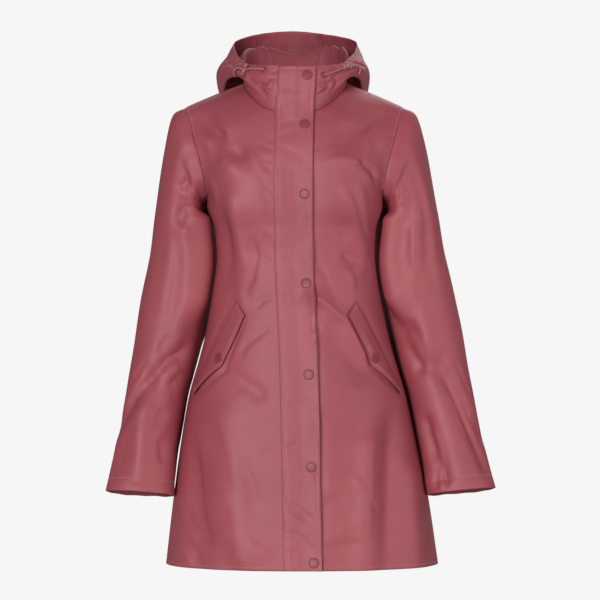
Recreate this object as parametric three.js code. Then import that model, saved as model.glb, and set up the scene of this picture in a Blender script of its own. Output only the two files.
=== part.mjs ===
// A woman's hooded raincoat in smooth coated cloth, filled out as it is when it is worn, and empty.
// Millimetres, +Z up. The front faces -Y, and +X is the wearer's left, which a viewer sees on the right.
// The origin is midway between the shoulders, at the height where the neck leaves them.
import * as THREE from "three";

// Driving dimensions
const CLOTH = 2.0; // wall of every cut piece: coated cloth with its seam allowances
const SEAM = 0.6; // gap between two cut pieces at a seam
const HEM_Z = -803; // hem, below the shoulders
const UNDERARM = 0.78; // where the side seam ends, as a share of the way from the hem to the shoulder seam
const NECK_FRONT = 0.898; // where the centre front ends and the neckline starts, on the same scale
const NECK_BACK = 0.91; // the same at the centre back
const COLLAR_TOP_Z = 32.5; // top of the closed collar at the centre front
const PLACKET_WIDTH = 64; // storm flap over the front opening
const PLACKET_EDGE_LIFT = 2.4; // how far its free edge stands off the coat
const LAID_GAP = 0.9; // between a piece of cloth and the one that it lies on
const SET_GAP = 0.7; // between a snap or eyelet and its cloth
const SNAP_RADIUS = 8.4; // snap cap
const SNAP_HEIGHT = 2.6;
const EYELET_RADIUS = 5.2;
const EYELET_HOLE = 2.3;
const EYELET_HEIGHT = 1.4;
const CORD_RADIUS = 1.6; // drawcord of the hood
const CORD_GAP = 0.35; // between its ends and the cord lock
const TOGGLE_LENGTH = 21; // cord lock
const TOGGLE_RADIUS = 3.4;

// How far the middle of the coat leans towards +X, by height
const LEAN = [
  { z: HEM_Z, x: 12 },
  { z: -690, x: 10 },
  { z: -600, x: 6.5 },
  { z: -517, x: 4.5 },
  { z: -405, x: 3 },
  { z: -284, x: 1.5 },
  { z: -200, x: 0 },
  { z: -100, x: -1 },
  { z: -36, x: -1 },
  { z: 40, x: 2 },
];

// Level sections from the hem to the underarm: half the width, the depths, and how square the section is
const RINGS = [
  { at: 0, z: HEM_Z, half: 231, front: 152, back: 146, square: 0.04 },
  { at: 0.146, z: -690, half: 216, front: 148, back: 143, square: 0.04 },
  { at: 0.25, z: -609, half: 202, front: 144, back: 138, square: 0.04 },
  { at: 0.369, z: -517, half: 184, front: 140, back: 130, square: 0.05 },
  { at: 0.447, z: -456, half: 166, front: 135, back: 122, square: 0.05 },
  { at: 0.513, z: -405, half: 153, front: 130, back: 114, square: 0.06 },
  { at: 0.597, z: -340, half: 143, front: 125, back: 107, square: 0.07 },
  { at: 0.669, z: -284, half: 136, front: 122, back: 103, square: 0.08 },
  { at: 0.726, z: -240, half: 138, front: 126, back: 104, square: 0.09 },
  { at: UNDERARM, z: -198, half: 149, front: 130, back: 107, square: 0.1 },
];

// Where the side seams lie: 1 is the middle of the side, and less is nearer the front
const SIDE_SEAMS = [
  { at: 0, right: 1.06, left: 0.76 },
  { at: 0.146, right: 1.05, left: 0.82 },
  { at: 0.28, right: 1.02, left: 0.93 },
  { at: 0.447, right: 1, left: 1 },
  { at: UNDERARM, right: 1, left: 1 },
];

// Front sections above the underarm, from the centre or the neckline (c) to the armhole (s), and how round they are
const CHEST = [
  { at: 0.834, cx: 0, cy: -127, cz: -128, sx: 147, sy: -54, sz: -178, round: 0.92, square: 0.1 },
  { at: 0.876, cx: 0, cy: -114, cz: -72, sx: 152, sy: -75, sz: -149, round: 0.78, square: 0.08 },
  { at: NECK_FRONT, cx: 0, cy: -104, cz: -44, sx: 158, sy: -76, sz: -125, round: 0.66, square: 0.06 },
  { at: 0.922, cx: 32, cy: -99, cz: -42, sx: 164, sy: -71, sz: -103, round: 0.5, square: 0.04 },
  { at: 0.948, cx: 61, cy: -79, cz: -27, sx: 171, sy: -61, sz: -78, round: 0.3, square: 0.02 },
  { at: 0.976, cx: 80, cy: -49, cz: -6, sx: 178, sy: -48, sz: -53, round: 0.12, square: 0.01 },
  { at: 1, cx: 88, cy: -18, cz: 8, sx: 184, sy: -30, sz: -34, round: 0, square: 0 },
];

// Back sections above the underarm, in the same way; the last ones pass over the top of the shoulder
const YOKE = [
  { at: 0.83, cx: 0, cy: 104, cz: -128, sx: 149, sy: 48, sz: -176, round: 0.92, square: 0.08 },
  { at: 0.876, cx: 0, cy: 90, cz: -48, sx: 160, sy: 63, sz: -130, round: 0.7, square: 0.06 },
  { at: NECK_BACK, cx: 0, cy: 58, cz: 8, sx: 171, sy: 57, sz: -91, round: 0.45, square: 0.04 },
  { at: 0.94, cx: 44, cy: 49, cz: 11, sx: 180, sy: 40, sz: -57, round: 0.25, square: 0.02 },
  { at: 0.97, cx: 79, cy: 20, cz: 15, sx: 187, sy: 7, sz: -30, round: 0.08, square: 0 },
  { at: 1, cx: 88, cy: -18, cz: 8, sx: 184, sy: -30, sz: -34, round: 0, square: 0 },
];

// Broad folds, seen from the front or the back: from (x, z) to (x, z), width, and height, below 0 for a trough
const FRONT_FOLDS = [
  { name: "bust right", x1: -88, z1: -160, x2: -90, z2: -184, width: 46, height: 8 },
  { name: "bust left", x1: 88, z1: -160, x2: 90, z2: -184, width: 46, height: 8 },
  { name: "shoulder pull right", x1: -160, z1: -46, x2: -92, z2: -108, width: 17, height: -6 },
  { name: "shoulder roll right", x1: -158, z1: -88, x2: -108, z2: -134, width: 18, height: 5 },
  { name: "shoulder pull left", x1: 160, z1: -38, x2: 84, z2: -94, width: 17, height: -6 },
  { name: "shoulder roll left", x1: 150, z1: -80, x2: 100, z2: -112, width: 18, height: 4 },
  { name: "waist ridge right", x1: -104, z1: -192, x2: -84, z2: -292, width: 20, height: 5 },
  { name: "side hollow right", x1: -124, z1: -215, x2: -112, z2: -315, width: 20, height: -5 },
  { name: "waist ridge left", x1: 98, z1: -172, x2: 118, z2: -300, width: 18, height: 5 },
  { name: "waist hollow left", x1: 80, z1: -235, x2: 90, z2: -285, width: 20, height: -4 },
  { name: "hip ridge left", x1: 40, z1: -356, x2: 118, z2: -440, width: 16, height: 6 },
  { name: "hip hollow left", x1: 60, z1: -410, x2: 112, z2: -470, width: 22, height: -5 },
  { name: "flap crease right", x1: -112, z1: -476, x2: -62, z2: -512, width: 16, height: -4 },
  { name: "skirt ridge right", x1: -118, z1: -560, x2: -96, z2: -780, width: 30, height: 6 },
  { name: "skirt hollow right", x1: -172, z1: -640, x2: -160, z2: HEM_Z, width: 24, height: -8 },
  { name: "hem roll right", x1: -140, z1: -750, x2: -104, z2: HEM_Z, width: 20, height: -6 },
  { name: "skirt ridge left", x1: 124, z1: -600, x2: 118, z2: HEM_Z, width: 22, height: 6 },
  { name: "skirt hollow left", x1: 164, z1: -560, x2: 156, z2: HEM_Z, width: 22, height: -6 },
  { name: "skirt edge left", x1: 198, z1: -650, x2: 204, z2: HEM_Z, width: 18, height: 6 },
];
const BACK_FOLDS = [
  { name: "blade right", x1: -76, z1: -112, x2: -82, z2: -150, width: 52, height: 7 },
  { name: "blade left", x1: 76, z1: -112, x2: 82, z2: -150, width: 52, height: 7 },
  { name: "shoulder pull right", x1: -156, z1: -104, x2: -94, z2: -170, width: 18, height: -5 },
  { name: "shoulder pull left", x1: 156, z1: -98, x2: 88, z2: -160, width: 18, height: -5 },
  { name: "waist fold right", x1: -70, z1: -225, x2: -60, z2: -330, width: 22, height: -7 },
  { name: "waist fold left", x1: 64, z1: -215, x2: 74, z2: -340, width: 22, height: -7 },
  { name: "middle of the waist", x1: 4, z1: -250, x2: 8, z2: -330, width: 26, height: -4 },
  { name: "seat", x1: -30, z1: -440, x2: 40, z2: -440, width: 80, height: 7 },
  { name: "skirt hollow right", x1: -92, z1: -560, x2: -104, z2: HEM_Z, width: 30, height: -9 },
  { name: "skirt ridge right", x1: -156, z1: -620, x2: -172, z2: HEM_Z, width: 26, height: 6 },
  { name: "skirt hollow middle", x1: 14, z1: -600, x2: 22, z2: HEM_Z, width: 34, height: -7 },
  { name: "skirt hollow left", x1: 124, z1: -570, x2: 138, z2: HEM_Z, width: 28, height: -9 },
  { name: "skirt ridge left", x1: 70, z1: -600, x2: 82, z2: HEM_Z, width: 26, height: 6 },
];

// Sleeve rings below the cap: centre, half width and half depth, and how far the ring tilts sideways and forwards
// from level, in degrees
const SLEEVE_RIGHT = [
  { at: 0.3, x: -193, y: 2, z: -219, wide: 45.5, deep: 64, side: 10, fore: 0 },
  { at: 0.4, x: -194.5, y: 3, z: -287, wide: 52.5, deep: 61, side: 7, fore: 0 },
  { at: 0.52, x: -208, y: 1, z: -370, wide: 55.5, deep: 56, side: 9, fore: 3 },
  { at: 0.63, x: -221, y: -6, z: -446, wide: 53.5, deep: 53, side: 11, fore: 7 },
  { at: 0.74, x: -236, y: -16, z: -520, wide: 50.5, deep: 48, side: 11, fore: 9 },
  { at: 0.85, x: -249, y: -28, z: -593, wide: 51.5, deep: 44, side: 9, fore: 10 },
  { at: 0.945, x: -257, y: -39, z: -652, wide: 55, deep: 41, side: 6, fore: 9 },
  { at: 1, x: -260.5, y: -44, z: -682, wide: 58.5, deep: 40, side: 4, fore: 8 },
];
const SLEEVE_LEFT = [
  { at: 0.3, x: 198, y: 2, z: -219, wide: 45.5, deep: 64, side: 10, fore: 0 },
  { at: 0.4, x: 200, y: 3, z: -287, wide: 55.5, deep: 61, side: 9, fore: 0 },
  { at: 0.52, x: 216.5, y: 1, z: -370, wide: 58.5, deep: 56, side: 11, fore: 3 },
  { at: 0.63, x: 232.5, y: -6, z: -446, wide: 56, deep: 53, side: 12, fore: 6 },
  { at: 0.74, x: 249, y: -16, z: -520, wide: 53, deep: 48, side: 12, fore: 8 },
  { at: 0.85, x: 263, y: -28, z: -593, wide: 53, deep: 44, side: 11, fore: 9 },
  { at: 0.945, x: 274, y: -38, z: -650, wide: 56, deep: 41, side: 9, fore: 8 },
  { at: 1, x: 280, y: -42, z: -679, wide: 58.5, deep: 40, side: 6, fore: 7 },
];
// The sleeve cap, between the armhole and the first ring: how far it has gone towards that ring, how far it swells
// outwards and upwards on the outer side, and how far it stands off the body under the arm
const CAP = [
  { at: 0.09, toward: 0.18, out: 13, up: 17, under: 7 },
  { at: 0.18, toward: 0.48, out: 12, up: 12, under: 6 },
];

// Folds of a sleeve: round it in degrees (0 is the outside, 90 the front, 180 the body side), along it, and height
const SLEEVE_RIGHT_FOLDS = [
  { name: "armpit roll", turn1: 136, at1: 0.33, turn2: 138, at2: 0.47, width: 18, height: 22 },
  { name: "armpit valley", turn1: 88, at1: 0.14, turn2: 92, at2: 0.3, width: 14, height: -5 },
  { name: "front ridge", turn1: 96, at1: 0.34, turn2: 108, at2: 0.6, width: 15, height: 5 },
  { name: "elbow notch", turn1: 126, at1: 0.62, turn2: 78, at2: 0.7, width: 13, height: -6 },
  { name: "elbow pull", turn1: 84, at1: 0.72, turn2: 12, at2: 0.83, width: 15, height: -7 },
  { name: "forearm ridge", turn1: 74, at1: 0.79, turn2: 86, at2: 0.96, width: 20, height: 5 },
  { name: "back elbow", turn1: 250, at1: 0.58, turn2: 300, at2: 0.64, width: 15, height: -6 },
  { name: "back pull", turn1: 240, at1: 0.7, turn2: 310, at2: 0.8, width: 15, height: -5 },
];
const SLEEVE_LEFT_FOLDS = [
  { name: "armpit roll", turn1: 136, at1: 0.33, turn2: 138, at2: 0.45, width: 18, height: 20 },
  { name: "armpit valley", turn1: 86, at1: 0.14, turn2: 90, at2: 0.3, width: 14, height: -5 },
  { name: "front ridge", turn1: 86, at1: 0.3, turn2: 100, at2: 0.6, width: 18, height: 4 },
  { name: "elbow side", turn1: 150, at1: 0.52, turn2: 118, at2: 0.66, width: 15, height: -7 },
  { name: "long pull", turn1: 92, at1: 0.68, turn2: 34, at2: 0.94, width: 14, height: -6 },
  { name: "upper pull", turn1: 80, at1: 0.66, turn2: 18, at2: 0.86, width: 13, height: -4 },
  { name: "wrist hollow", turn1: 136, at1: 0.8, turn2: 118, at2: 0.95, width: 15, height: -7 },
  { name: "back elbow", turn1: 245, at1: 0.56, turn2: 300, at2: 0.63, width: 15, height: -6 },
  { name: "back pull", turn1: 235, at1: 0.72, turn2: 305, at2: 0.84, width: 15, height: -5 },
];
const SLEEVE_LENGTH = 660;
const CLOTH_PER_DEGREE = 0.92; // millimetres of sleeve round the arm for each degree of turn

// Hood sections from the left front (0), round the back (0.5), to the right front (1). Each climbs from the neck
// seam to the crest of the inner fold, falls to the bottom of the bag, and comes up past its belly to the brim.
const HOOD = [
  { at: 0, crest: [0, -106, -32], bottom: [0, -107, -6], belly: [0, -106, 14], brim: [0, -103, COLLAR_TOP_Z] },
  { at: 0.08, crest: [46, -95, -26], bottom: [47, -99, -2], belly: [47, -98, 16], brim: [45, -93, 34] },
  { at: 0.16, crest: [80, -57, 2], bottom: [85, -64, 14], belly: [85, -64, 27], brim: [78, -59, 40] },
  { at: 0.22, crest: [86, -22, 34], bottom: [101, -28, 20], belly: [109, -26, 37], brim: [93, -24, 54] },
  { at: 0.29, crest: [86, 16, 66], bottom: [112, 20, 12], belly: [123, 20, 38], brim: [104, 18, 70] },
  { at: 0.36, crest: [74, 52, 76], bottom: [112, 90, -24], belly: [126, 90, 28], brim: [102, 78, 92] },
  { at: 0.43, crest: [48, 72, 77], bottom: [66, 127, -92], belly: [82, 156, 8], brim: [52, 130, 108] },
  { at: 0.5, crest: [3, 80, 64], bottom: [3, 134, -112], belly: [2, 178, -4], brim: [-6, 150, 115] },
  { at: 0.57, crest: [-45, 72, 76], bottom: [-64, 127, -94], belly: [-84, 157, 6], brim: [-64, 130, 108] },
  { at: 0.64, crest: [-74, 52, 74], bottom: [-116, 88, -26], belly: [-131, 88, 28], brim: [-103, 76, 90] },
  { at: 0.71, crest: [-86, 16, 64], bottom: [-118, 20, 12], belly: [-131, 20, 36], brim: [-102, 18, 68] },
  { at: 0.78, crest: [-85, -22, 34], bottom: [-101, -28, 20], belly: [-114, -26, 36], brim: [-91, -24, 50] },
  { at: 0.84, crest: [-80, -57, 2], bottom: [-85, -64, 14], belly: [-85, -64, 27], brim: [-77, -59, 39] },
  { at: 0.92, crest: [-46, -95, -26], bottom: [-47, -99, -2], belly: [-47, -98, 16], brim: [-45, -93, 34] },
  { at: 1, crest: [0, -106, -32], bottom: [0, -107, -6], belly: [0, -106, 14], brim: [0, -103, COLLAR_TOP_Z] },
];
const HOOD_LEVELS = { neck: 0, crest: 0.15, bottom: 0.5, belly: 0.75, brim: 1 };
const HOOD_SHOULDER = 0.22; // where the left shoulder seam meets the hood; the right one mirrors it
const HOOD_SEAM = 0.43; // left side of its middle panel; the right one mirrors it
const GATHERS = 40; // waves that the drawcord pulls into the brim, were they to go all round
const GATHER_DEPTH = 2.2;

// Pocket flap outline on a front: round the body (0 is the centre front, 1 the side) and height. The sewn edge is
// straight, and the free edge runs to a blunt point at the snap.
const FLAP = {
  sewnTop: { around: 0.44, z: -359 },
  freeTop: { around: 0.36, z: -382 },
  point: { around: 0.49, z: -466 },
  freeBottom: { around: 0.715, z: -517 },
  sewnBottom: { around: 0.765, z: -507 },
};
const FLAP_POINT_SHARE = 0.6; // how far along the flap its point is
const FLAP_EDGE_LIFT = 2.5; // how far the free edge stands off the coat
const FLAP_SNAP = { along: 0.56, across: 0.68 };
const FLAP_SNAP_GAPS = { right: 0.6, left: 1.2 }; // a fold of the coat curves the left flap under its snap

// Middle of the placket, by height
const PLACKET_LINE = [
  { z: HEM_Z, x: 13.1 },
  { z: -654, x: 10.2 },
  { z: -588, x: 9 },
  { z: -470, x: 6.2 },
  { z: -357, x: 0.8 },
  { z: -290, x: -2.2 },
  { z: -136, x: -2.7 },
  { z: -45, x: -1 },
  { z: COLLAR_TOP_Z, x: 3.6 },
];

// Snaps on the placket: distance from its middle, and height
const SNAPS = [
  { x: 18, z: 17 },
  { x: 18, z: -65 },
  { x: 18.5, z: -182 },
  { x: 19, z: -329 },
  { x: 16.5, z: -480 },
  { x: 17.5, z: -632 },
  { x: 18.5, z: -789 },
];

// Drawcords: places on the hood from the eyelet to near the cord lock, then of the free end beyond it, and how far
// the cord's middle stands off the cloth. The lock lies along the way from one of its own places to the other, and
// its bore is how far from its middle the cord goes in: at its sides on the right, and at its ends on the left.
const DRAWCORDS = [
  {
    side: "right",
    route: [
      { round: 0.91, climb: 0.88, lift: 0.4 },
      { round: 0.91, climb: 0.88, lift: 3.4 },
      { round: 0.902, climb: 0.87, lift: 4.6 },
      { round: 0.885, climb: 0.85, lift: 4.6 },
      { round: 0.866, climb: 0.82, lift: 5.4 },
    ],
    lock: { from: { round: 0.846, climb: 0.55 }, to: { round: 0.846, climb: 1 }, lift: 7.5, bore: TOGGLE_RADIUS },
    tail: [
      { round: 0.826, climb: 0.76, lift: 6 },
      { round: 0.812, climb: 0.68, lift: 4.4 },
      { round: 0.802, climb: 0.56, lift: 3 },
    ],
  },
  {
    side: "left",
    route: [
      { round: 0.082, climb: 0.76, lift: 0.4 },
      { round: 0.082, climb: 0.76, lift: 3.4 },
      { round: 0.09, climb: 0.765, lift: 4.6 },
      { round: 0.106, climb: 0.78, lift: 4 },
      { round: 0.122, climb: 0.8, lift: 4.2 },
    ],
    lock: { from: { round: 0.14, climb: 0.83 }, to: { round: 0.186, climb: 0.8 }, lift: 4.3, bore: TOGGLE_LENGTH / 2 },
    tail: [
      { round: 0.204, climb: 0.77, lift: 4 },
      { round: 0.212, climb: 0.71, lift: 3.2 },
      { round: 0.217, climb: 0.62, lift: 3 },
    ],
  },
];

const materials = {
  cloth: new THREE.MeshStandardMaterial({ color: "#a3525c", roughness: 0.42, metalness: 0 }),
  snap: new THREE.MeshStandardMaterial({ color: "#96434f", roughness: 0.25, metalness: 0.1 }),
  cord: new THREE.MeshStandardMaterial({ color: "#a85e68", roughness: 0.8, metalness: 0 }),
  toggle: new THREE.MeshStandardMaterial({ color: "#b06872", roughness: 0.35, metalness: 0 }),
};

// A number held between two others
function held(value, low, high) {
  return Math.min(Math.max(value, low), high);
}

// A smooth cubic curve through (places, values). A strict one never passes beyond its values.
function curve(places, values, at, strict) {
  const last = places.length - 1;
  const x = held(at, places[0], places[last]);
  let i = 0;
  while (i < last - 1 && x > places[i + 1]) i += 1;
  const rise = (k) => (values[k + 1] - values[k]) / (places[k + 1] - places[k]);
  const slope = (k) => {
    if (k === 0) return rise(0);
    if (k === last) return rise(last - 1);
    if (!strict) return (values[k + 1] - values[k - 1]) / (places[k + 1] - places[k - 1]);
    const before = rise(k - 1);
    const after = rise(k);
    return before * after <= 0 ? 0 : (2 * before * after) / (before + after);
  };
  const span = places[i + 1] - places[i];
  const t = (x - places[i]) / span;
  const ease = t * t * (3 - 2 * t);
  const leave = t * (1 - t) ** 2 * span * slope(i);
  const arrive = t * t * (t - 1) * span * slope(i + 1);
  return values[i] + (values[i + 1] - values[i]) * ease + leave + arrive;
}

// Turns a table into a function that reads all its columns at a place, without passing beyond them
function reader(table, key) {
  const places = table.map((row) => row[key]);
  const names = Object.keys(table[0]).filter((name) => name !== key);
  const columns = names.map((name) => table.map((row) => row[name]));
  return (at) => Object.fromEntries(names.map((name, k) => [name, curve(places, columns[k], at, true)]));
}

// A ring of the lower body as a section of its front or back
function levelRow(ring, centreY) {
  const { at, z, half, square } = ring;
  return { at, cx: 0, cy: centreY, cz: z, sx: half, sy: 0, sz: z, round: 1, square };
}

const leanAt = reader(LEAN, "z");
const seamAt = reader(SIDE_SEAMS, "at");
const placketAt = reader(PLACKET_LINE, "z");
const frontAt = reader([...RINGS.map((ring) => levelRow(ring, -ring.front)), ...CHEST], "at");
const backAt = reader([...RINGS.map((ring) => levelRow(ring, ring.back)), ...YOKE], "at");

// How high a fold stands at a place, from its two ends in the same plane
function foldHeight(fold, x, y, [x1, y1], [x2, y2]) {
  const dx = x2 - x1;
  const dy = y2 - y1;
  const along = held(((x - x1) * dx + (y - y1) * dy) / (dx * dx + dy * dy), 0, 1);
  const away = Math.hypot(x - x1 - along * dx, y - y1 - along * dy) / fold.width;
  return fold.height * Math.exp(-away * away);
}

// A point of the body before its folds. Rise goes from the hem to the shoulder seam, share from the centre to the
// side or armhole, and side is -1 on the wearer's right and 1 on the left.
function bodyBase(onBack, rise, share, side) {
  const row = onBack ? backAt(rise) : frontAt(rise);
  const turn = (share * Math.PI) / 2;
  const corner = 1 + row.square * Math.sin(2 * turn) ** 2;
  const across = (1 - row.round) * share + row.round * Math.sin(turn) * corner;
  const deep = (1 - row.round) * (1 - share) + row.round * Math.cos(turn) * corner;
  const z = row.cz + (row.sz - row.cz) * share ** (1 + 0.7 * row.round);
  const x = side * (row.cx + (row.sx - row.cx) * across) + leanAt(z).x;
  return new THREE.Vector3(x, row.sy + (row.cy - row.sy) * deep, z);
}

function bodyNormal(onBack, rise, share, side) {
  const step = 0.004;
  const low = held(rise - step, 0, 1);
  const high = held(rise + step, 0, 1);
  const inner = held(share - step, 0, 1);
  const outer = held(share + step, 0, 1);
  const end = bodyBase(onBack, rise, outer, side);
  const start = bodyBase(onBack, rise, inner, side);
  const middle = leanAt(start.z).x;
  const joined = share === 0 && rise <= (onBack ? NECK_BACK : NECK_FRONT);
  if (joined) start.set(2 * middle - end.x, end.y, end.z); // both halves share the surface at the middle
  const outwards = end.sub(start);
  const up = bodyBase(onBack, high, share, side).sub(bodyBase(onBack, low, share, side));
  return outwards
    .cross(up)
    .normalize()
    .multiplyScalar(onBack ? -side : side);
}

// A point of the body with its folds, moved out by lift
function body(onBack, rise, share, side, lift = 0) {
  const point = bodyBase(onBack, rise, share, side);
  const normal = bodyNormal(onBack, rise, share, side);
  if (rise === 1) normal.add(bodyNormal(!onBack, rise, share, side)).normalize();
  const faces = Math.min(1, 1.6 * Math.abs(normal.y)); // folds fade where the cloth turns round the side
  const fade = Math.min(1, (1 - rise) / 0.05); // and at the shoulder seam
  const folds = onBack ? BACK_FOLDS : FRONT_FOLDS;
  const height = folds.reduce(
    (sum, f) => sum + foldHeight(f, point.x, point.z, [f.x1, f.z1], [f.x2, f.z2]),
    0,
  );
  return point.addScaledVector(normal, height * faces * fade + lift);
}

// The same, going round the body: 0 is the centre front, 1 the side and 2 the centre back
function bodyRound(rise, around, side, lift) {
  return around <= 1 ? body(false, rise, around, side, lift) : body(true, rise, 2 - around, side, lift);
}

// The place on a surface whose point is at (x, z) when it is seen from the front
function placeSeen(surface, x, z, start, limits) {
  let [u, v] = start;
  const step = 0.001;
  for (let k = 0; k < 10; k += 1) {
    const p = surface(u, v);
    const du = surface(u + step, v).sub(p).divideScalar(step);
    const dv = surface(u, v + step).sub(p).divideScalar(step);
    const det = du.x * dv.z - dv.x * du.z;
    u = held(u + ((x - p.x) * dv.z - (z - p.z) * dv.x) / det, ...limits[0]);
    v = held(v + ((z - p.z) * du.x - (x - p.x) * du.z) / det, ...limits[1]);
  }
  return [u, v];
}

// Where the hood is sewn on, as a place on the body: the neckline from the left front, round the back
function neckline(round, lift) {
  const side = round <= 0.5 ? 1 : -1;
  const way = Math.min(round, 1 - round);
  if (way <= HOOD_SHOULDER) {
    return body(false, NECK_FRONT + ((1 - NECK_FRONT) * way) / HOOD_SHOULDER, 0, side, lift);
  }
  const fall = (way - HOOD_SHOULDER) / (0.5 - HOOD_SHOULDER);
  return body(true, 1 - (1 - NECK_BACK) * fall, 0, side, lift);
}

const hoodPlaces = HOOD.map((section) => section.at);
const levelPlaces = Object.values(HOOD_LEVELS);

// A point of the hood's outer face: round from the left front to the right front, climb from neck seam to brim
function hoodBase(round, climb) {
  const read = (level, k) =>
    curve(
      hoodPlaces,
      HOOD.map((section) => section[level][k]),
      round,
      false,
    );
  const neck = neckline(round, 0).toArray();
  const point = [0, 1, 2].map((k) => {
    const values = [neck[k], ...["crest", "bottom", "belly", "brim"].map((level) => read(level, k))];
    return curve(levelPlaces, values, climb, false);
  });
  const behind = Math.max(0, Math.cos((round - 0.5) * Math.PI * 1.7));
  const wave = GATHER_DEPTH * Math.sin(round * Math.PI * 2 * GATHERS) * behind;
  point[1] += wave * held((climb - 0.85) / 0.15, 0, 1);
  return new THREE.Vector3(...point);
}

function hoodNormal(round, climb) {
  const step = 0.004;
  const left = hoodBase((round - step + 1) % 1, climb);
  const right = hoodBase((round + step) % 1, climb);
  const low = hoodBase(round, held(climb - step, 0, 1));
  const high = hoodBase(round, held(climb + step, 0, 1));
  return right.sub(left).cross(high.sub(low)).normalize();
}

function hood(round, climb, lift = 0) {
  if (climb === 0 && lift <= 0) return neckline(round, lift);
  return hoodBase(round, climb).addScaledVector(hoodNormal(round, climb), lift);
}

// A point of a level or tilted ring of a sleeve
function ringPoint(row, turn, side) {
  const t = THREE.MathUtils.degToRad(turn);
  const tiltSide = THREE.MathUtils.degToRad(row.side);
  const tiltFore = THREE.MathUtils.degToRad(row.fore);
  const outwards = new THREE.Vector3(side * Math.cos(tiltSide), 0, Math.sin(tiltSide));
  const forwards = new THREE.Vector3(0, -Math.cos(tiltFore), Math.sin(tiltFore));
  return new THREE.Vector3(row.x, row.y, row.z)
    .addScaledVector(outwards, row.wide * Math.cos(t))
    .addScaledVector(forwards, row.deep * Math.sin(t));
}

// The armhole of the body at a turn of the sleeve: 0 is the shoulder, 90 the front and 180 the underarm. A share
// below 1 lies on the panel beside it.
function armhole(turn, side, lift = 0, share = 1) {
  const wrapped = (turn + 360) % 360;
  const onBack = wrapped > 180;
  const up = onBack ? (wrapped - 180) / 180 : 1 - wrapped / 180;
  return body(onBack, UNDERARM + (1 - UNDERARM) * up, share, side, lift);
}

// A place under the armhole seam, halfway between the two cloths that meet there, and never behind the panel's edge
function mitred(turn, side, sleeveNormal, lift) {
  const seam = armhole(turn, side);
  const normal = armhole(turn, side, 1).sub(seam);
  const under = normal.add(sleeveNormal).normalize().multiplyScalar(lift);
  const intoPanel = armhole(turn, side, 0, 0.98).sub(seam).normalize();
  return seam.add(under).addScaledVector(intoPanel, -Math.max(0, under.dot(intoPanel)));
}

// Makes a sleeve into a function of the turn round it, the place along it, and the lift
function sleeveSurface(rows, folds, side) {
  const places = [0, ...CAP.map((step) => step.at), ...rows.map((row) => row.at)];
  const base = (turn, along) => {
    const seam = armhole(turn, side);
    const ring = ringPoint(rows[0], turn, side);
    const outer = Math.cos(THREE.MathUtils.degToRad(turn) / 2) ** 2;
    const swell = ({ out, up, under }) => {
      return new THREE.Vector3(side * (out * outer + under * (1 - outer)), 0, up * outer);
    };
    const cap = CAP.map((step) => seam.clone().lerp(ring, step.toward).add(swell(step)));
    const loops = [seam, ...cap, ...rows.map((row) => ringPoint(row, turn, side))];
    const values = (axis) => loops.map((point) => point[axis]);
    return new THREE.Vector3(...["x", "y", "z"].map((axis) => curve(places, values(axis), along, false)));
  };
  const normalAt = (turn, along) => {
    const forwards = base(turn + 2, along).sub(base(turn - 2, along));
    const down = base(turn, held(along + 0.005, 0, 1)).sub(base(turn, held(along - 0.005, 0, 1)));
    return down.cross(forwards).normalize().multiplyScalar(-side);
  };
  const flat = (turn, along) => [turn * CLOTH_PER_DEGREE, along * SLEEVE_LENGTH];
  return (turn, along, lift = 0) => {
    if (along === 0) return mitred(turn, side, normalAt(turn, 0.01), lift);
    const [x, y] = flat(turn, along);
    const height = folds.reduce(
      (sum, f) => sum + foldHeight(f, x, y, flat(f.turn1, f.at1), flat(f.turn2, f.at2)),
      0,
    );
    const fade = held(Math.min(along / 0.1, (1 - along) / 0.04 + 0.3), 0, 1);
    return base(turn, along).addScaledVector(normalAt(turn, along), height * fade + lift);
  };
}

// Values in equal steps along runs of [start, end, count] that follow each other
function steps(...runs) {
  const run = ([start, end, count]) =>
    Array.from({ length: count }, (_, k) => start + ((end - start) * (k + 1)) / count);
  return [runs[0][0], ...runs.flatMap(run)];
}

// A patch of cloth: rows of points from bottom to top, each from left to right as seen from outside. Surface gives
// the point of a row and column with a lift, and the inner face lies a wall below the outer one.
function patch(rows, columns, surface, outerLift = 0) {
  const layer = (lift) => rows.map((r) => columns.map((c) => surface(r, c, lift)));
  return { outer: layer(outerLift), inner: layer(outerLift - CLOTH) };
}

// Moves an edge of a patch back by half a seam or another gap, square to the edge, over some of its rows
function retreat(sheet, edge, { gap = SEAM / 2, from = 0, to = sheet.outer.length - 1 } = {}) {
  const { outer, inner } = sheet;
  const top = outer.length - 1;
  const right = outer[0].length - 1;
  const upright = edge === "left" || edge === "right";
  const [first, last] = upright ? [from, to] : [0, right];
  const place = (k, inwards) =>
    ({ left: [k, inwards], right: [k, right - inwards], bottom: [inwards, k], top: [top - inwards, k] })[edge];
  const point = (k, inwards) => {
    const [r, c] = place(held(k, first, last), inwards);
    return outer[r][c].clone();
  };
  const moves = steps([first, last, last - first]).map((k) => {
    const along = point(k + 1, 0).sub(point(k - 1, 0)).normalize();
    const inwards = point(k, 1).sub(point(k, 0));
    return inwards.addScaledVector(along, -inwards.dot(along)).normalize().multiplyScalar(gap);
  });
  moves.forEach((move, k) => {
    const [r, c] = place(first + k, 0);
    outer[r][c].add(move);
    inner[r][c].add(move);
  });
  return sheet;
}

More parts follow.
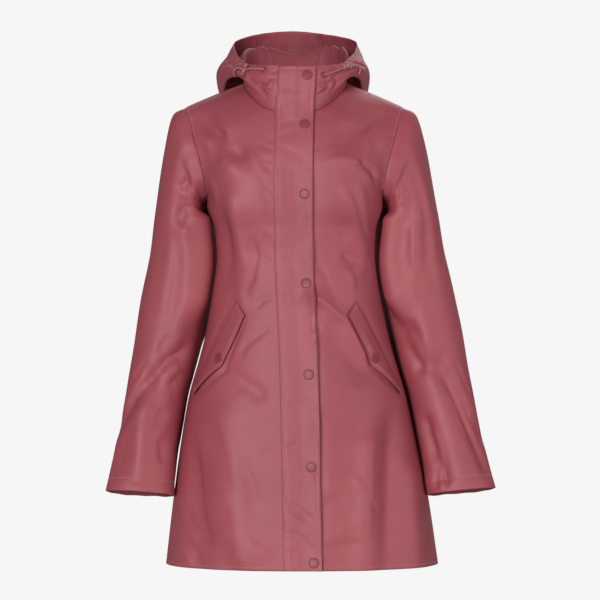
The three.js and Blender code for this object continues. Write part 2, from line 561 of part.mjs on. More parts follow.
// One closed wall of one or more patches. Patches that share the points of an edge are joined there, and every
// other edge gets a rim between the outer and the inner face.
function wall(...patches) {
  const outer = [];
  const inner = [];
  const known = new Map();
  const keep = (point, under) => {
    const key = point.toArray().map((n) => Math.round(n * 1000)).join();
    if (!known.has(key)) {
      known.set(key, outer.length);
      outer.push(point);
      inner.push(under);
    }
    return known.get(key);
  };
  const quads = [];
  for (const sheet of patches) {
    const ids = sheet.outer.map((row, r) => row.map((point, c) => keep(point, sheet.inner[r][c])));
    for (let r = 1; r < ids.length; r += 1) {
      for (let c = 1; c < ids[0].length; c += 1) {
        quads.push([ids[r - 1][c - 1], ids[r - 1][c], ids[r][c], ids[r][c - 1]]);
      }
    }
  }
  const below = outer.length;
  const edges = new Set(quads.flatMap((q) => q.map((id, k) => `${id},${q[(k + 1) % 4]}`)));
  const faces = [];
  const quad = (a, b, c, d) => faces.push(a, b, c, a, c, d);
  for (const [a, b, c, d] of quads) {
    quad(a, b, c, d);
    quad(below + a, below + d, below + c, below + b);
  }
  for (const edge of edges) {
    const [a, b] = edge.split(",").map(Number);
    if (!edges.has(`${b},${a}`)) quad(b, a, below + a, below + b);
  }
  const geometry = new THREE.BufferGeometry();
  const positions = [...outer, ...inner].flatMap((point) => point.toArray());
  geometry.setAttribute("position", new THREE.Float32BufferAttribute(positions, 3));
  geometry.setIndex(faces);
  geometry.computeVertexNormals();
  return geometry;
}

const raincoat = new THREE.Group();

function add(name, geometry, material) {
  const mesh = new THREE.Mesh(geometry, material);
  mesh.name = name;
  raincoat.add(mesh);
  return mesh;
}

// Body panels
const BODY_COLUMNS = 10;
const SKIRT_RISES = steps([0, UNDERARM, 16]);
const FRONT_RISES = steps([UNDERARM, NECK_FRONT, 5], [NECK_FRONT, 1, 5]);
const BACK_RISES = steps([UNDERARM, NECK_BACK, 6], [NECK_BACK, 1, 4]);

function frontPanel(side) {
  const rises = [...SKIRT_RISES, ...FRONT_RISES.slice(1)];
  const shares = steps([0, 1, BODY_COLUMNS]);
  const key = side < 0 ? "right" : "left";
  const surface = (rise, share, lift) => bodyRound(rise, share * seamAt(rise)[key], side, lift);
  const sheet = patch(rises, side < 0 ? shares.reverse() : shares, surface);
  return wall(retreat(retreat(retreat(sheet, "left"), "right"), "top"));
}

// One half of the back, from its middle to the side seam and armhole
function backHalf(side) {
  const rises = [...SKIRT_RISES, ...BACK_RISES.slice(1)];
  const shares = steps([0, 1, BODY_COLUMNS]);
  const key = side < 0 ? "right" : "left";
  const surface = (rise, share, lift) => {
    if (rise > UNDERARM) return body(true, rise, share, side, lift);
    return bodyRound(rise, 2 - share * (2 - seamAt(rise)[key]), side, lift);
  };
  const sheet = patch(rises, side > 0 ? shares.reverse() : shares, surface);
  const seamSide = side < 0 ? "right" : "left";
  const middle = side < 0 ? "left" : "right";
  const neckRow = rises.indexOf(NECK_BACK);
  const corner = side < 0 ? 0 : BODY_COLUMNS;
  const share = SEAM / 2 / sheet.outer[neckRow][corner].distanceTo(sheet.outer[neckRow - 1][corner]);
  for (const face of [sheet.outer, sheet.inner]) face[neckRow][corner].lerp(face[neckRow - 1][corner], share);
  return retreat(retreat(retreat(sheet, seamSide), middle, { from: neckRow + 1 }), "top");
}

add("front_right", frontPanel(-1), materials.cloth);
add("front_left", frontPanel(1), materials.cloth);
add("back", wall(backHalf(-1), backHalf(1)), materials.cloth);

// Sleeves, with a column at every row of the panels that they are sewn to
const SLEEVE_ROWS = steps([1, 0.3, 13], [0.3, 0.1, 4], [0.1, 0, 3]);

function sleevePanel(rows, folds, side) {
  const turnAt = (rise) => (180 * (1 - rise)) / (1 - UNDERARM);
  const front = FRONT_RISES.map(turnAt).reverse();
  const back = BACK_RISES.slice(1).map((rise) => 360 - turnAt(rise));
  const turns = [...front, ...back];
  const surface = sleeveSurface(rows, folds, side);
  const sheet = patch(SLEEVE_ROWS, side < 0 ? turns : turns.reverse(), (along, turn, lift) =>
    surface(turn % 360, along, lift),
  );
  return wall(retreat(sheet, "top", { gap: SEAM * 2 }));
}

add("sleeve_right", sleevePanel(SLEEVE_RIGHT, SLEEVE_RIGHT_FOLDS, -1), materials.cloth);
add("sleeve_left", sleevePanel(SLEEVE_LEFT, SLEEVE_LEFT_FOLDS, 1), materials.cloth);

// Hood, with two columns for every row of the panels that it is sewn to
const HOOD_CLIMBS = steps([0, 0.15, 4], [0.15, 0.5, 4], [0.5, 1, 6]);
const HOOD_ROUNDS = steps([0, HOOD_SHOULDER, 10], [HOOD_SHOULDER, 0.5, 8]);

// The neck row of the hood on the straight runs between the points of the panels below it
function hoodOnPanels(climb, round, lift) {
  if (climb > 0) return hood(round, climb, lift);
  const front = HOOD_SHOULDER / 5;
  const back = (0.5 - HOOD_SHOULDER) / 4;
  const way = Math.min(round, 1 - round);
  const [start, span] = way < HOOD_SHOULDER ? [0, front] : [HOOD_SHOULDER, back];
  const count = (way - start) / span;
  const low = start + Math.floor(count + 1e-6) * span;
  const share = held((way - low) / span, 0, 1);
  const place = (w) => (round <= 0.5 ? w : 1 - w);
  const from = neckline(place(low), lift);
  return share < 1e-6 ? from : from.lerp(neckline(place(low + span), lift), share);
}

const leftRounds = [...HOOD_ROUNDS.filter((round) => round < HOOD_SEAM - 0.01), HOOD_SEAM];
const middleRounds = [HOOD_SEAM, ...HOOD_ROUNDS.filter((round) => round > HOOD_SEAM + 0.01)];
const mirrored = (rounds) => rounds.map((round) => 1 - round).reverse();

function hoodPanel(rounds, sewnEdges) {
  const sheet = patch(HOOD_CLIMBS, rounds, hoodOnPanels);
  for (const edge of ["bottom", ...sewnEdges]) retreat(sheet, edge, { gap: SEAM });
  return wall(sheet);
}

add("hood_side_left", hoodPanel(leftRounds, ["left", "right"]), materials.cloth);
add("hood_side_right", hoodPanel(mirrored(leftRounds), ["left", "right"]), materials.cloth);
add(
  "hood_middle",
  hoodPanel([...middleRounds, ...mirrored(middleRounds).slice(1)], ["left", "right"]),
  materials.cloth,
);

// The outside of the closed front, collar included, at (x, z) as seen from the front, moved out by lift
function frontOutside(x, z, lift) {
  const side = x >= leanAt(z).x ? 1 : -1;
  if (z < -43) {
    const surface = (rise, share) => bodyBase(false, rise, share, side);
    const start = [((z - HEM_Z) / (-44 - HEM_Z)) * NECK_FRONT, 0.15];
    const [rise, share] = placeSeen(surface, x, z, start, [
      [0, 0.93],
      [0, 0.9],
    ]);
    return body(false, rise, share, side, lift);
  }
  const surface = (way, climb) => hoodBase(side > 0 ? way : 1 - way, climb);
  const [way, climb] = placeSeen(surface, x, z, [0.05, (z + 44) / 78], [
    [0, 0.2],
    [0.001, 0.999],
  ]);
  return hood(side > 0 ? way : 1 - way, climb, lift);
}

// Placket: across it (-1 to 1) and height. Its free edge, on the wearer's left, stands off the coat.
function placket(z, across, lift) {
  const x = placketAt(z).x + (across * PLACKET_WIDTH) / 2;
  return frontOutside(x, z, lift + PLACKET_EDGE_LIFT * held(across, 0, 1));
}

const PLACKET_ROWS = [
  HEM_Z + 0.5,
  ...SKIRT_RISES.slice(1).map((rise) => frontAt(rise).cz),
  ...FRONT_RISES.slice(1, 5).map((rise) => frontAt(rise).cz),
  ...steps([-50, -36, 2], [-36, COLLAR_TOP_Z - 0.5, 5]),
];
add("placket", wall(patch(PLACKET_ROWS, steps([-1, 1, 6]), placket, LAID_GAP + CLOTH)), materials.cloth);

// How far up the body a height is, below the underarm
function riseOf(z) {
  let low = 0;
  let high = UNDERARM;
  for (let k = 0; k < 30; k += 1) {
    const middle = (low + high) / 2;
    if (frontAt(middle).cz < z) low = middle;
    else high = middle;
  }
  return low;
}

// A pocket flap as a function of the way along it from the top, the way across it from its sewn edge, and the lift
function flap(side) {
  const mix = (a, b, t) => ({ around: a.around + (b.around - a.around) * t, z: a.z + (b.z - a.z) * t });
  return (along, across, lift) => {
    const sewn = mix(FLAP.sewnTop, FLAP.sewnBottom, along);
    const free =
      along < FLAP_POINT_SHARE
        ? mix(FLAP.freeTop, FLAP.point, along / FLAP_POINT_SHARE)
        : mix(FLAP.point, FLAP.freeBottom, (along - FLAP_POINT_SHARE) / (1 - FLAP_POINT_SHARE));
    const place = mix(sewn, free, across);
    return body(false, riseOf(place.z), place.around, side, lift + FLAP_EDGE_LIFT * across);
  };
}

// A disc or ring from its outline (radius, height), with its axis along a direction
function turned(outline, centre, axis, sides) {
  const geometry = new THREE.LatheGeometry(
    outline.map(([radius, height]) => new THREE.Vector2(radius, height)),
    sides,
  );
  geometry.applyQuaternion(new THREE.Quaternion().setFromUnitVectors(new THREE.Vector3(0, 1, 0), axis));
  return geometry.translate(...centre.toArray());
}

// A snap cap at the middle of a surface(right, up): a low dome with a rim
function snapOn(name, surface, gap = SET_GAP) {
  const right = surface(1, 0).sub(surface(-1, 0));
  const axis = surface(0, 1).sub(surface(0, -1)).cross(right).normalize().negate();
  const foot = surface(0, 0).addScaledVector(axis, gap);
  const outline = [
    [0, 0],
    [SNAP_RADIUS, 0],
    [SNAP_RADIUS, SNAP_HEIGHT * 0.4],
    [SNAP_RADIUS * 0.86, SNAP_HEIGHT * 0.75],
    [SNAP_RADIUS * 0.5, SNAP_HEIGHT * 0.97],
    [0, SNAP_HEIGHT],
  ];
  add(name, turned(outline, foot, axis, 12), materials.snap);
}

for (const [name, side] of [
  ["right", -1],
  ["left", 1],
]) {
  const surface = flap(side);
  const alongs = steps([1, FLAP_POINT_SHARE, 4], [FLAP_POINT_SHARE, 0, 6]);
  const acrosses = steps([0, 1, 3]);
  const sheet = patch(alongs, side < 0 ? acrosses : acrosses.reverse(), surface, LAID_GAP + CLOTH);
  add(`pocket_flap_${name}`, wall(sheet), materials.cloth);
  const { along, across } = FLAP_SNAP;
  const reach = 0.05; // of the flap's length
  const near = (right, up) => surface(along - up * reach, across - side * right * reach * 2, LAID_GAP + CLOTH);
  snapOn(`pocket_snap_${name}`, near, FLAP_SNAP_GAPS[name]);
}

SNAPS.forEach((snap, k) => {
  const place = (mm) => (mm / PLACKET_WIDTH) * 2;
  const reach = SNAP_RADIUS * 0.8;
  snapOn(`snap_${k + 1}`, (right, up) =>
    placket(snap.z + up * reach, place(snap.x + right * reach), LAID_GAP + CLOTH),
  );
});

// Drawcords with their eyelets and cord locks
function cordAlong(points) {
  const path = new THREE.CatmullRomCurve3(points);
  const section = new THREE.Shape();
  section.absarc(0, 0, CORD_RADIUS, 0, Math.PI * 2);
  const settings = { extrudePath: path, steps: Math.ceil(path.getLength() / 4), curveSegments: 4 };
  return new THREE.ExtrudeGeometry(section, settings);
}

for (const { side, route, lock, tail } of DRAWCORDS) {
  const place = ({ round, climb, lift }) => hood(round, climb, lift);
  const foot = place({ ...route[0], lift: SET_GAP });
  const axis = place({ ...route[0], lift: SET_GAP + 1 }).sub(foot);
  const ring = [
    [EYELET_HOLE, 0],
    [EYELET_RADIUS, 0],
    [EYELET_RADIUS * 0.94, EYELET_HEIGHT * 0.6],
    [EYELET_RADIUS * 0.75, EYELET_HEIGHT],
    [EYELET_HOLE, EYELET_HEIGHT * 0.7],
    [EYELET_HOLE, 0],
  ];
  add(`eyelet_${side}`, turned(ring, foot, axis.normalize(), 12), materials.snap);

  const from = place({ ...lock.from, lift: lock.lift });
  const to = place({ ...lock.to, lift: lock.lift });
  const middle = from.clone().add(to).divideScalar(2);
  const half = TOGGLE_LENGTH / 2;
  const body = [
    [0, -half],
    [TOGGLE_RADIUS * 0.7, -half],
    [TOGGLE_RADIUS, -half * 0.8],
    [TOGGLE_RADIUS, half * 0.8],
    [TOGGLE_RADIUS * 0.7, half],
    [0, half],
  ];
  const lengthwise = to.clone().sub(from).normalize();
  add(`cord_lock_${side}`, turned(body, middle, lengthwise, 10), materials.toggle);

  const arriving = middle.clone().sub(place(route.at(-1))).normalize();
  const crosswise = arriving.clone().addScaledVector(lengthwise, -arriving.dot(lengthwise)).normalize();
  const through = lock.bore > TOGGLE_RADIUS ? lengthwise : crosswise;
  const inlet = middle.clone().addScaledVector(through, -lock.bore - CORD_GAP);
  const outlet = middle.clone().addScaledVector(through, lock.bore + CORD_GAP);
  add(`drawcord_${side}`, cordAlong([...route.map(place), inlet]), materials.cord);
  add(`drawcord_end_${side}`, cordAlong([outlet, ...tail.map(place)]), materials.cord);
}

export default raincoat;
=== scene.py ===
# A hooded raincoat in satin-coated cloth, filled out as it is when it is worn, and empty.
# The tables are in millimetres, as in the pattern of the solids; meshes are in metres.
# Right and left are the wearer's, so the right side (-1) is at -X.
import math

import bmesh
import bpy
import numpy as np
from mathutils import Matrix, Vector


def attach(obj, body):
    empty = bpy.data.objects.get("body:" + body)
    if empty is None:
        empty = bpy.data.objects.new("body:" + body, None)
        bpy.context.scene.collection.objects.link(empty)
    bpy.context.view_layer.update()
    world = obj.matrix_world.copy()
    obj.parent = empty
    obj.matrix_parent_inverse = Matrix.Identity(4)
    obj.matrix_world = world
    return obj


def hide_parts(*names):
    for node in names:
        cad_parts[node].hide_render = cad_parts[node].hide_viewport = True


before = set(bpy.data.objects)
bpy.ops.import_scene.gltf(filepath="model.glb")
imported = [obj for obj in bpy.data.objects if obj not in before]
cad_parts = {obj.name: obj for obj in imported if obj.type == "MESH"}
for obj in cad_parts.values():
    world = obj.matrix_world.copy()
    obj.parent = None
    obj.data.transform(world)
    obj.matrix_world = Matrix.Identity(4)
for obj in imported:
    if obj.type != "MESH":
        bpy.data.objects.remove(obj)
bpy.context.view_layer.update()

MM = 0.001
SHELL = 1.3  # cloth as it shows, with its coating
HEM_Z = -803.0
COLLAR_TOP_Z = 32.5
# Ways up the body, from 0 at the hem to 1 at the shoulder
UNDERARM = 0.78
NECK_FRONT = 0.898
NECK_BACK = 0.91
# Ways round the hood, from 0 at the left front: to the shoulder seam, and to the seam of its middle piece
HOOD_SHOULDER = 0.22
HOOD_SEAM = 0.43
PLACKET_WIDTH = 64.0
SNAP_RADIUS = 8.4
SNAP_SUNK = 0.3  # how far a cap is pressed into the cloth
POCKET_SNAP_SUNK = 0.2
CORD_RADIUS = 1.6
STITCH_PITCH = 3.2  # one stitch and its gap
STITCH_LENGTH = 2.2
THREAD_RADIUS = 0.38
THREAD_PROUD = 0.12  # the middle of the thread above the cloth
SEAM_TUCK = 0.5  # how far a sleeve's or the hood's edge lies inside the edge that it is sewn to
CREASE_DEPTH = 1.5  # of the creases of body and sleeves, against the heights in the tables
HOOD_CREASE_DEPTH = 1.3
NORMAL_STEP = 0.004  # part of the way over a surface, for its normals


def table(columns, *rows):
    """Rows of numbers under named columns."""
    return {name: np.array([row[k] for row in rows], float) for k, name in enumerate(columns.split())}


LEAN = table(
    "z x",
    (HEM_Z, 12), (-690, 10), (-600, 6.5), (-517, 4.5), (-405, 3), (-284, 1.5), (-200, 0), (-100, -1),
    (-36, -1), (40, 2),
)
RINGS = table(
    "at z half front back square",
    (0, HEM_Z, 231, 152, 146, 0.04),
    (0.146, -690, 216, 148, 143, 0.04),
    (0.25, -609, 202, 144, 138, 0.04),
    (0.369, -517, 184, 140, 130, 0.05),
    (0.447, -456, 166, 135, 122, 0.05),
    (0.513, -405, 153, 130, 114, 0.06),
    (0.597, -340, 143, 125, 107, 0.07),
    (0.669, -284, 136, 122, 103, 0.08),
    (0.726, -240, 138, 126, 104, 0.09),
    (UNDERARM, -198, 149, 130, 107, 0.1),
)
SIDE_SEAMS = table(
    "at right left",
    (0, 1.06, 0.76), (0.146, 1.05, 0.82), (0.28, 1.02, 0.93), (0.447, 1, 1), (UNDERARM, 1, 1),
)
CHEST = table(
    "at cx cy cz sx sy sz round square",
    (0.834, 0, -127, -128, 147, -54, -178, 0.92, 0.1),
    (0.876, 0, -114, -72, 152, -75, -149, 0.78, 0.08),
    (NECK_FRONT, 0, -104, -44, 158, -76, -125, 0.66, 0.06),
    (0.922, 32, -99, -42, 164, -71, -103, 0.5, 0.04),
    (0.948, 61, -79, -27, 171, -61, -78, 0.3, 0.02),
    (0.976, 80, -49, -6, 178, -48, -53, 0.12, 0.01),
    (1, 88, -18, 8, 184, -30, -34, 0, 0),
)
YOKE = table(
    "at cx cy cz sx sy sz round square",
    (0.83, 0, 104, -128, 149, 48, -176, 0.92, 0.08),
    (0.876, 0, 90, -48, 160, 63, -130, 0.7, 0.06),
    (NECK_BACK, 0, 58, 8, 171, 57, -91, 0.45, 0.04),
    (0.94, 44, 49, 11, 180, 40, -57, 0.25, 0.02),
    (0.97, 79, 20, 15, 187, 7, -30, 0.08, 0),
    (1, 88, -18, 8, 184, -30, -34, 0, 0),
)

# Broad folds as the solids have them: from (x, z) to (x, z), width and height
FRONT_FOLDS = [
    (-88, -160, -90, -184, 46, 8), (88, -160, 90, -184, 46, 8), (-160, -46, -92, -108, 17, -6),
    (-158, -88, -108, -134, 18, 5), (160, -38, 84, -94, 17, -6), (150, -80, 100, -112, 18, 4),
    (-104, -192, -84, -292, 20, 5), (-124, -215, -112, -315, 20, -5), (98, -172, 118, -300, 18, 5),
    (80, -235, 90, -285, 20, -4), (40, -356, 118, -440, 16, 6), (60, -410, 112, -470, 22, -5),
    (-112, -476, -62, -512, 16, -4), (-118, -560, -96, -780, 30, 6), (-172, -640, -160, HEM_Z, 24, -8),
    (-140, -750, -104, HEM_Z, 20, -6), (124, -600, 118, HEM_Z, 22, 6), (164, -560, 156, HEM_Z, 22, -6),
    (198, -650, 204, HEM_Z, 18, 6),
]
BACK_FOLDS = [
    (-76, -112, -82, -150, 52, 7), (76, -112, 82, -150, 52, 7), (-156, -104, -94, -170, 18, -5),
    (156, -98, 88, -160, 18, -5), (-70, -225, -60, -330, 22, -7), (64, -215, 74, -340, 22, -7),
    (4, -250, 8, -330, 26, -4), (-30, -440, 40, -440, 80, 7), (-92, -560, -104, HEM_Z, 30, -9),
    (-156, -620, -172, HEM_Z, 26, 6), (14, -600, 22, HEM_Z, 34, -7), (124, -570, 138, HEM_Z, 28, -9),
    (70, -600, 82, HEM_Z, 26, 6),
]

# Creases: height, below 0 for a trough, its width on either side of the line, and the line's (x, z) points
FRONT_CREASES = [
    # right front, from the shoulder down
    (-3.6, 7, 16, [(-168, -44), (-140, -66), (-112, -92), (-86, -122), (-60, -150)]),
    (2.8, 7, 12, [(-150, -44), (-118, -70), (-92, -98)]),
    (-3.0, 6, 13, [(-166, -92), (-140, -112), (-116, -128)]),
    (-1.6, 4, 9, [(-160, -152), (-146, -176), (-136, -196)]),
    (1.6, 5, 9, [(-150, -140), (-132, -170), (-126, -204)]),
    (2.4, 8, 14, [(-104, -176), (-98, -214), (-90, -262), (-84, -304)]),
    (-2.4, 8, 14, [(-116, -190), (-114, -230), (-110, -270), (-112, -318)]),
    (-2.0, 6, 16, [(-74, -246), (-64, -284), (-72, -320), (-84, -352)]),
    (1.4, 6, 10, [(-96, -330), (-88, -352), (-84, -374)]),
    (-1.3, 4, 8, [(-34, -352), (-52, -356), (-66, -374)]),
    (-1.2, 4, 9, [(-34, -392), (-52, -410), (-80, -432), (-96, -462)]),
    (-0.7, 7, 14, [(-96, -486), (-66, -500), (-40, -520)]),
    (0.6, 10, 16, [(-96, -500), (-74, -520), (-60, -552)]),
    (-1.4, 10, 20, [(-140, -560), (-118, -620), (-106, -690)]),
    (-1.3, 7, 14, [(-96, -600), (-70, -660), (-62, -720)]),
    (-2.4, 6, 14, [(-170, -560), (-166, -640), (-156, -720), (-136, -790)]),
    (-2.0, 4, 11, [(-196, -744), (-176, -766), (-154, -792)]),
    (2.0, 4, 9, [(-200, -756), (-182, -782), (-170, -803)]),
    (-1.6, 5, 12, [(-190, -700), (-172, -738), (-150, -760)]),
    (-1.5, 10, 18, [(-120, -690), (-108, -750), (-112, -790)]),
    (1.3, 7, 16, [(-84, -746), (-60, -770), (-34, -764)]),
    (-0.5, 4, 8, [(-34, -560), (-44, -566), (-54, -576)]),
    (-0.6, 4, 9, [(-32, -604), (-44, -612), (-56, -622)]),
    # pressed under the free edge of the pocket flap
    (-1.5, 3, 5, [(-84, -378), (-82, -388), (-118, -474), (-168, -521), (-176, -522)]),
    # beside the pocket flap's seam
    (-1.3, 3, 4, [(-99, -350), (-107, -362), (-142, -436), (-177, -511), (-181, -520)]),
    # gathers beside the seam of the placket
    (-0.9, 2.5, 5, [(-34, -94), (-48, -90), (-60, -84)]),
    (-0.9, 2.5, 5, [(-34, -112), (-50, -104), (-64, -98)]),
    (-0.8, 2.5, 5, [(-34, -130), (-48, -126), (-60, -122)]),
    (-0.9, 3, 6, [(-36, -148), (-50, -136), (-60, -124)]),
    (-0.9, 3, 6, [(-36, -180), (-50, -166), (-58, -150)]),
    (-0.8, 3, 6, [(-36, -206), (-48, -192), (-56, -172)]),
    (-0.9, 3, 7, [(-36, -246), (-46, -232), (-52, -210)]),
    (-0.9, 3, 7, [(-36, -282), (-46, -266), (-50, -244)]),
    (-0.9, 3, 7, [(-34, -306), (-46, -296), (-56, -284)]),
    # left front, from the shoulder down
    (-3.8, 6, 15, [(172, -36), (142, -54), (112, -74), (82, -92), (54, -98)]),
    (2.8, 6, 10, [(150, -52), (118, -78), (96, -92)]),
    (-1.8, 5, 11, [(154, -74), (134, -92), (120, -100)]),
    (2.6, 5, 12, [(46, -130), (76, -122), (100, -130), (118, -150), (128, -180)]),
    (-3.0, 5, 9, [(92, -144), (110, -134), (126, -142), (134, -160)]),
    (-2.2, 5, 10, [(86, -152), (96, -182), (104, -214), (118, -262)]),
    (1.8, 6, 9, [(76, -160), (86, -188), (98, -224), (112, -270)]),
    (-1.8, 8, 12, [(78, -224), (86, -244), (82, -262)]),
    (-2.0, 5, 12, [(74, -286), (86, -282), (100, -290), (110, -304)]),
    (1.6, 6, 10, [(84, -296), (94, -322), (98, -350)]),
    (-1.5, 6, 10, [(112, -284), (120, -306), (118, -328)]),
    (-1.6, 5, 8, [(26, -282), (46, -306), (60, -336), (70, -362)]),
    (-2.6, 5, 12, [(26, -354), (54, -376), (78, -400), (92, -420)]),
    (2.2, 5, 10, [(24, -344), (52, -366), (80, -392)]),
    (-1.6, 6, 14, [(26, -372), (36, -392), (40, -412)]),
    (1.0, 8, 14, [(60, -520), (96, -504), (120, -520)]),
    (-1.4, 8, 16, [(100, -524), (96, -560), (110, -590)]),
    (1.9, 10, 16, [(126, -540), (122, -600), (120, -680), (112, -780)]),
    (-2.6, 12, 18, [(164, -520), (160, -600), (158, -700), (150, -790)]),
    (1.4, 10, 14, [(186, -580), (186, -660), (196, -780)]),
    (-1.6, 4, 9, [(108, -660), (124, -690), (140, -712)]),
    (1.3, 5, 10, [(92, -640), (112, -670), (128, -700)]),
    (-1.5, 8, 20, [(36, -716), (58, -690), (86, -676)]),
    (-1.4, 7, 18, [(32, -780), (64, -764), (100, -760), (126, -772)]),
    (1.2, 8, 16, [(60, -742), (100, -726), (120, -712)]),
    (-1.2, 4, 8, [(30, -640), (42, -650), (54, -656)]),
    # pressed under the free edge of the pocket flap
    (-1.5, 5, 3, [(92, -370), (91, -381), (129, -468), (175, -514), (183, -515)]),
    # beside the pocket flap's seam
    (-1.3, 4, 3, [(99, -345), (107, -356), (144, -432), (181, -510), (185, -519)]),
    # beside the placket's free edge
    (-1.2, 8, 3, [(33, -106), (34, -160), (33, -220), (35, -290), (36, -350)]),
    (-1.3, 8, 3, [(37, -330), (40, -400), (41, -470), (42, -540)]),
    (-1.3, 8, 3, [(42, -520), (44, -590), (45, -660), (47, -730), (48, -800)]),
    (-0.9, 3, 6, [(24, -430), (34, -420), (46, -416)]),
    (-0.9, 3, 6, [(24, -110), (36, -102), (50, -98)]),
]
BACK_CREASES = [
    (-2.2, 6, 14, [(-166, -78), (-136, -108), (-108, -140), (-84, -176)]),
    (1.6, 6, 11, [(-160, -112), (-132, -142), (-110, -172)]),
    (-2.2, 6, 14, [(166, -72), (134, -100), (104, -134), (78, -162)]),
    (1.7, 6, 12, [(158, -104), (128, -132), (106, -158)]),
    (-1.6, 5, 12, [(-150, -176), (-136, -206), (-126, -246)]),
    (-1.6, 5, 12, [(152, -180), (136, -212), (128, -250)]),
    (-2.0, 8, 14, [(-40, -206), (-46, -262), (-38, -330)]),
    (1.8, 8, 12, [(-92, -232), (-84, -286), (-88, -340)]),
    (-1.9, 8, 14, [(46, -214), (40, -270), (50, -336)]),
    (1.7, 8, 12, [(92, -228), (98, -280), (92, -346)]),
    (-1.5, 5, 12, [(-120, -330), (-92, -352), (-60, -360)]),
    (-1.6, 5, 12, [(122, -322), (96, -346), (62, -356)]),
    (-1.2, 5, 10, [(-20, -352), (6, -362), (30, -354)]),
    (-2.0, 12, 20, [(-60, -560), (-70, -660), (-78, -790)]),
    (1.8, 12, 18, [(-128, -570), (-138, -680), (-140, -790)]),
    (1.6, 10, 16, [(-20, -590), (-24, -690), (-20, -790)]),
    (-1.8, 12, 20, [(96, -600), (106, -700), (110, -795)]),
    (1.6, 10, 16, [(150, -560), (164, -660), (176, -780)]),
    (-1.7, 5, 12, [(196, -726), (170, -752), (150, -790)]),
    (-1.5, 5, 12, [(-204, -720), (-186, -750), (-176, -790)]),
    (-1.2, 4, 10, [(-60, -20), (-74, -46), (-70, -80)]),
    (-1.2, 4, 10, [(62, -18), (76, -46), (70, -78)]),
]

SLEEVE_RINGS = {
    -1: table(
        "at x y z wide deep side fore",
        (0.3, -193, 2, -219, 45.5, 64, 10, 0),
        (0.4, -194.5, 3, -287, 52.5, 61, 7, 0),
        (0.52, -208, 1, -370, 55.5, 56, 9, 3),
        (0.63, -221, -6, -446, 53.5, 53, 11, 7),
        (0.74, -236, -16, -520, 50.5, 48, 11, 9),
        (0.85, -249, -28, -593, 51.5, 44, 9, 10),
        (0.945, -257, -39, -652, 55, 41, 6, 9),
        (1, -260.5, -44, -682, 58.5, 40, 4, 8),
    ),
    1: table(
        "at x y z wide deep side fore",
        (0.3, 198, 2, -219, 45.5, 64, 10, 0),
        (0.4, 200, 3, -287, 55.5, 61, 9, 0),
        (0.52, 216.5, 1, -370, 58.5, 56, 11, 3),
        (0.63, 232.5, -6, -446, 56, 53, 12, 6),
        (0.74, 249, -16, -520, 53, 48, 12, 8),
        (0.85, 263, -28, -593, 53, 44, 11, 9),
        (0.945, 274, -38, -650, 56, 41, 9, 8),
        (1, 280, -42, -679, 58.5, 40, 6, 7),
    ),
}
CAP = table("at toward out up under", (0.09, 0.18, 13, 17, 7), (0.18, 0.48, 12, 12, 6))
SLEEVE_LENGTH = 660.0
CLOTH_PER_DEGREE = 0.92

# Folds of a sleeve: turn round it in degrees (0 is the outside, 90 the front, 180 the body side) and the way along
# it, at both ends, then width and height
SLEEVE_FOLDS = {
    -1: [
        (88, 0.14, 92, 0.3, 14, -5), (96, 0.34, 108, 0.6, 15, 5),
        (126, 0.62, 78, 0.7, 13, -6), (84, 0.72, 12, 0.83, 15, -7), (74, 0.79, 86, 0.96, 20, 5),
        (250, 0.58, 300, 0.64, 15, -6), (240, 0.7, 310, 0.8, 15, -5),
    ],
    1: [
        (86, 0.14, 90, 0.3, 14, -5), (86, 0.3, 100, 0.6, 18, 4),
        (150, 0.52, 118, 0.66, 15, -7), (92, 0.68, 34, 0.94, 14, -6), (80, 0.66, 18, 0.86, 13, -4),
        (136, 0.8, 118, 0.95, 15, -7), (245, 0.56, 300, 0.63, 15, -6), (235, 0.72, 305, 0.84, 15, -5),
    ],
}
# Rolls of slack cloth that lie against the body: turn, width, and the height at places along the sleeve
SLEEVE_ROLLS = {
    -1: [
        (136, 20, [(0.2, 0), (0.3, 20), (0.48, 20), (0.58, 0)]),
        (226, 18, [
            (0.06, 0), (0.17, 25), (0.3, 24), (0.35, 28), (0.5, 27), (0.55, 27.5), (0.6, 21), (0.66, 17.5),
            (0.72, 18.5), (0.82, 19.5), (0.9, 17), (1, 15),
        ]),
    ],
    1: [
        (136, 20, [(0.2, 0), (0.3, 18), (0.48, 18), (0.58, 0)]),
        (226, 18, [
            (0.06, 0), (0.17, 26), (0.28, 27), (0.33, 31), (0.42, 27), (0.47, 27.5), (0.57, 32), (0.62, 30),
            (0.68, 27), (0.75, 26.5), (0.8, 23.2), (0.85, 22.6), (0.9, 20), (1, 17.5),
        ]),
    ],
}
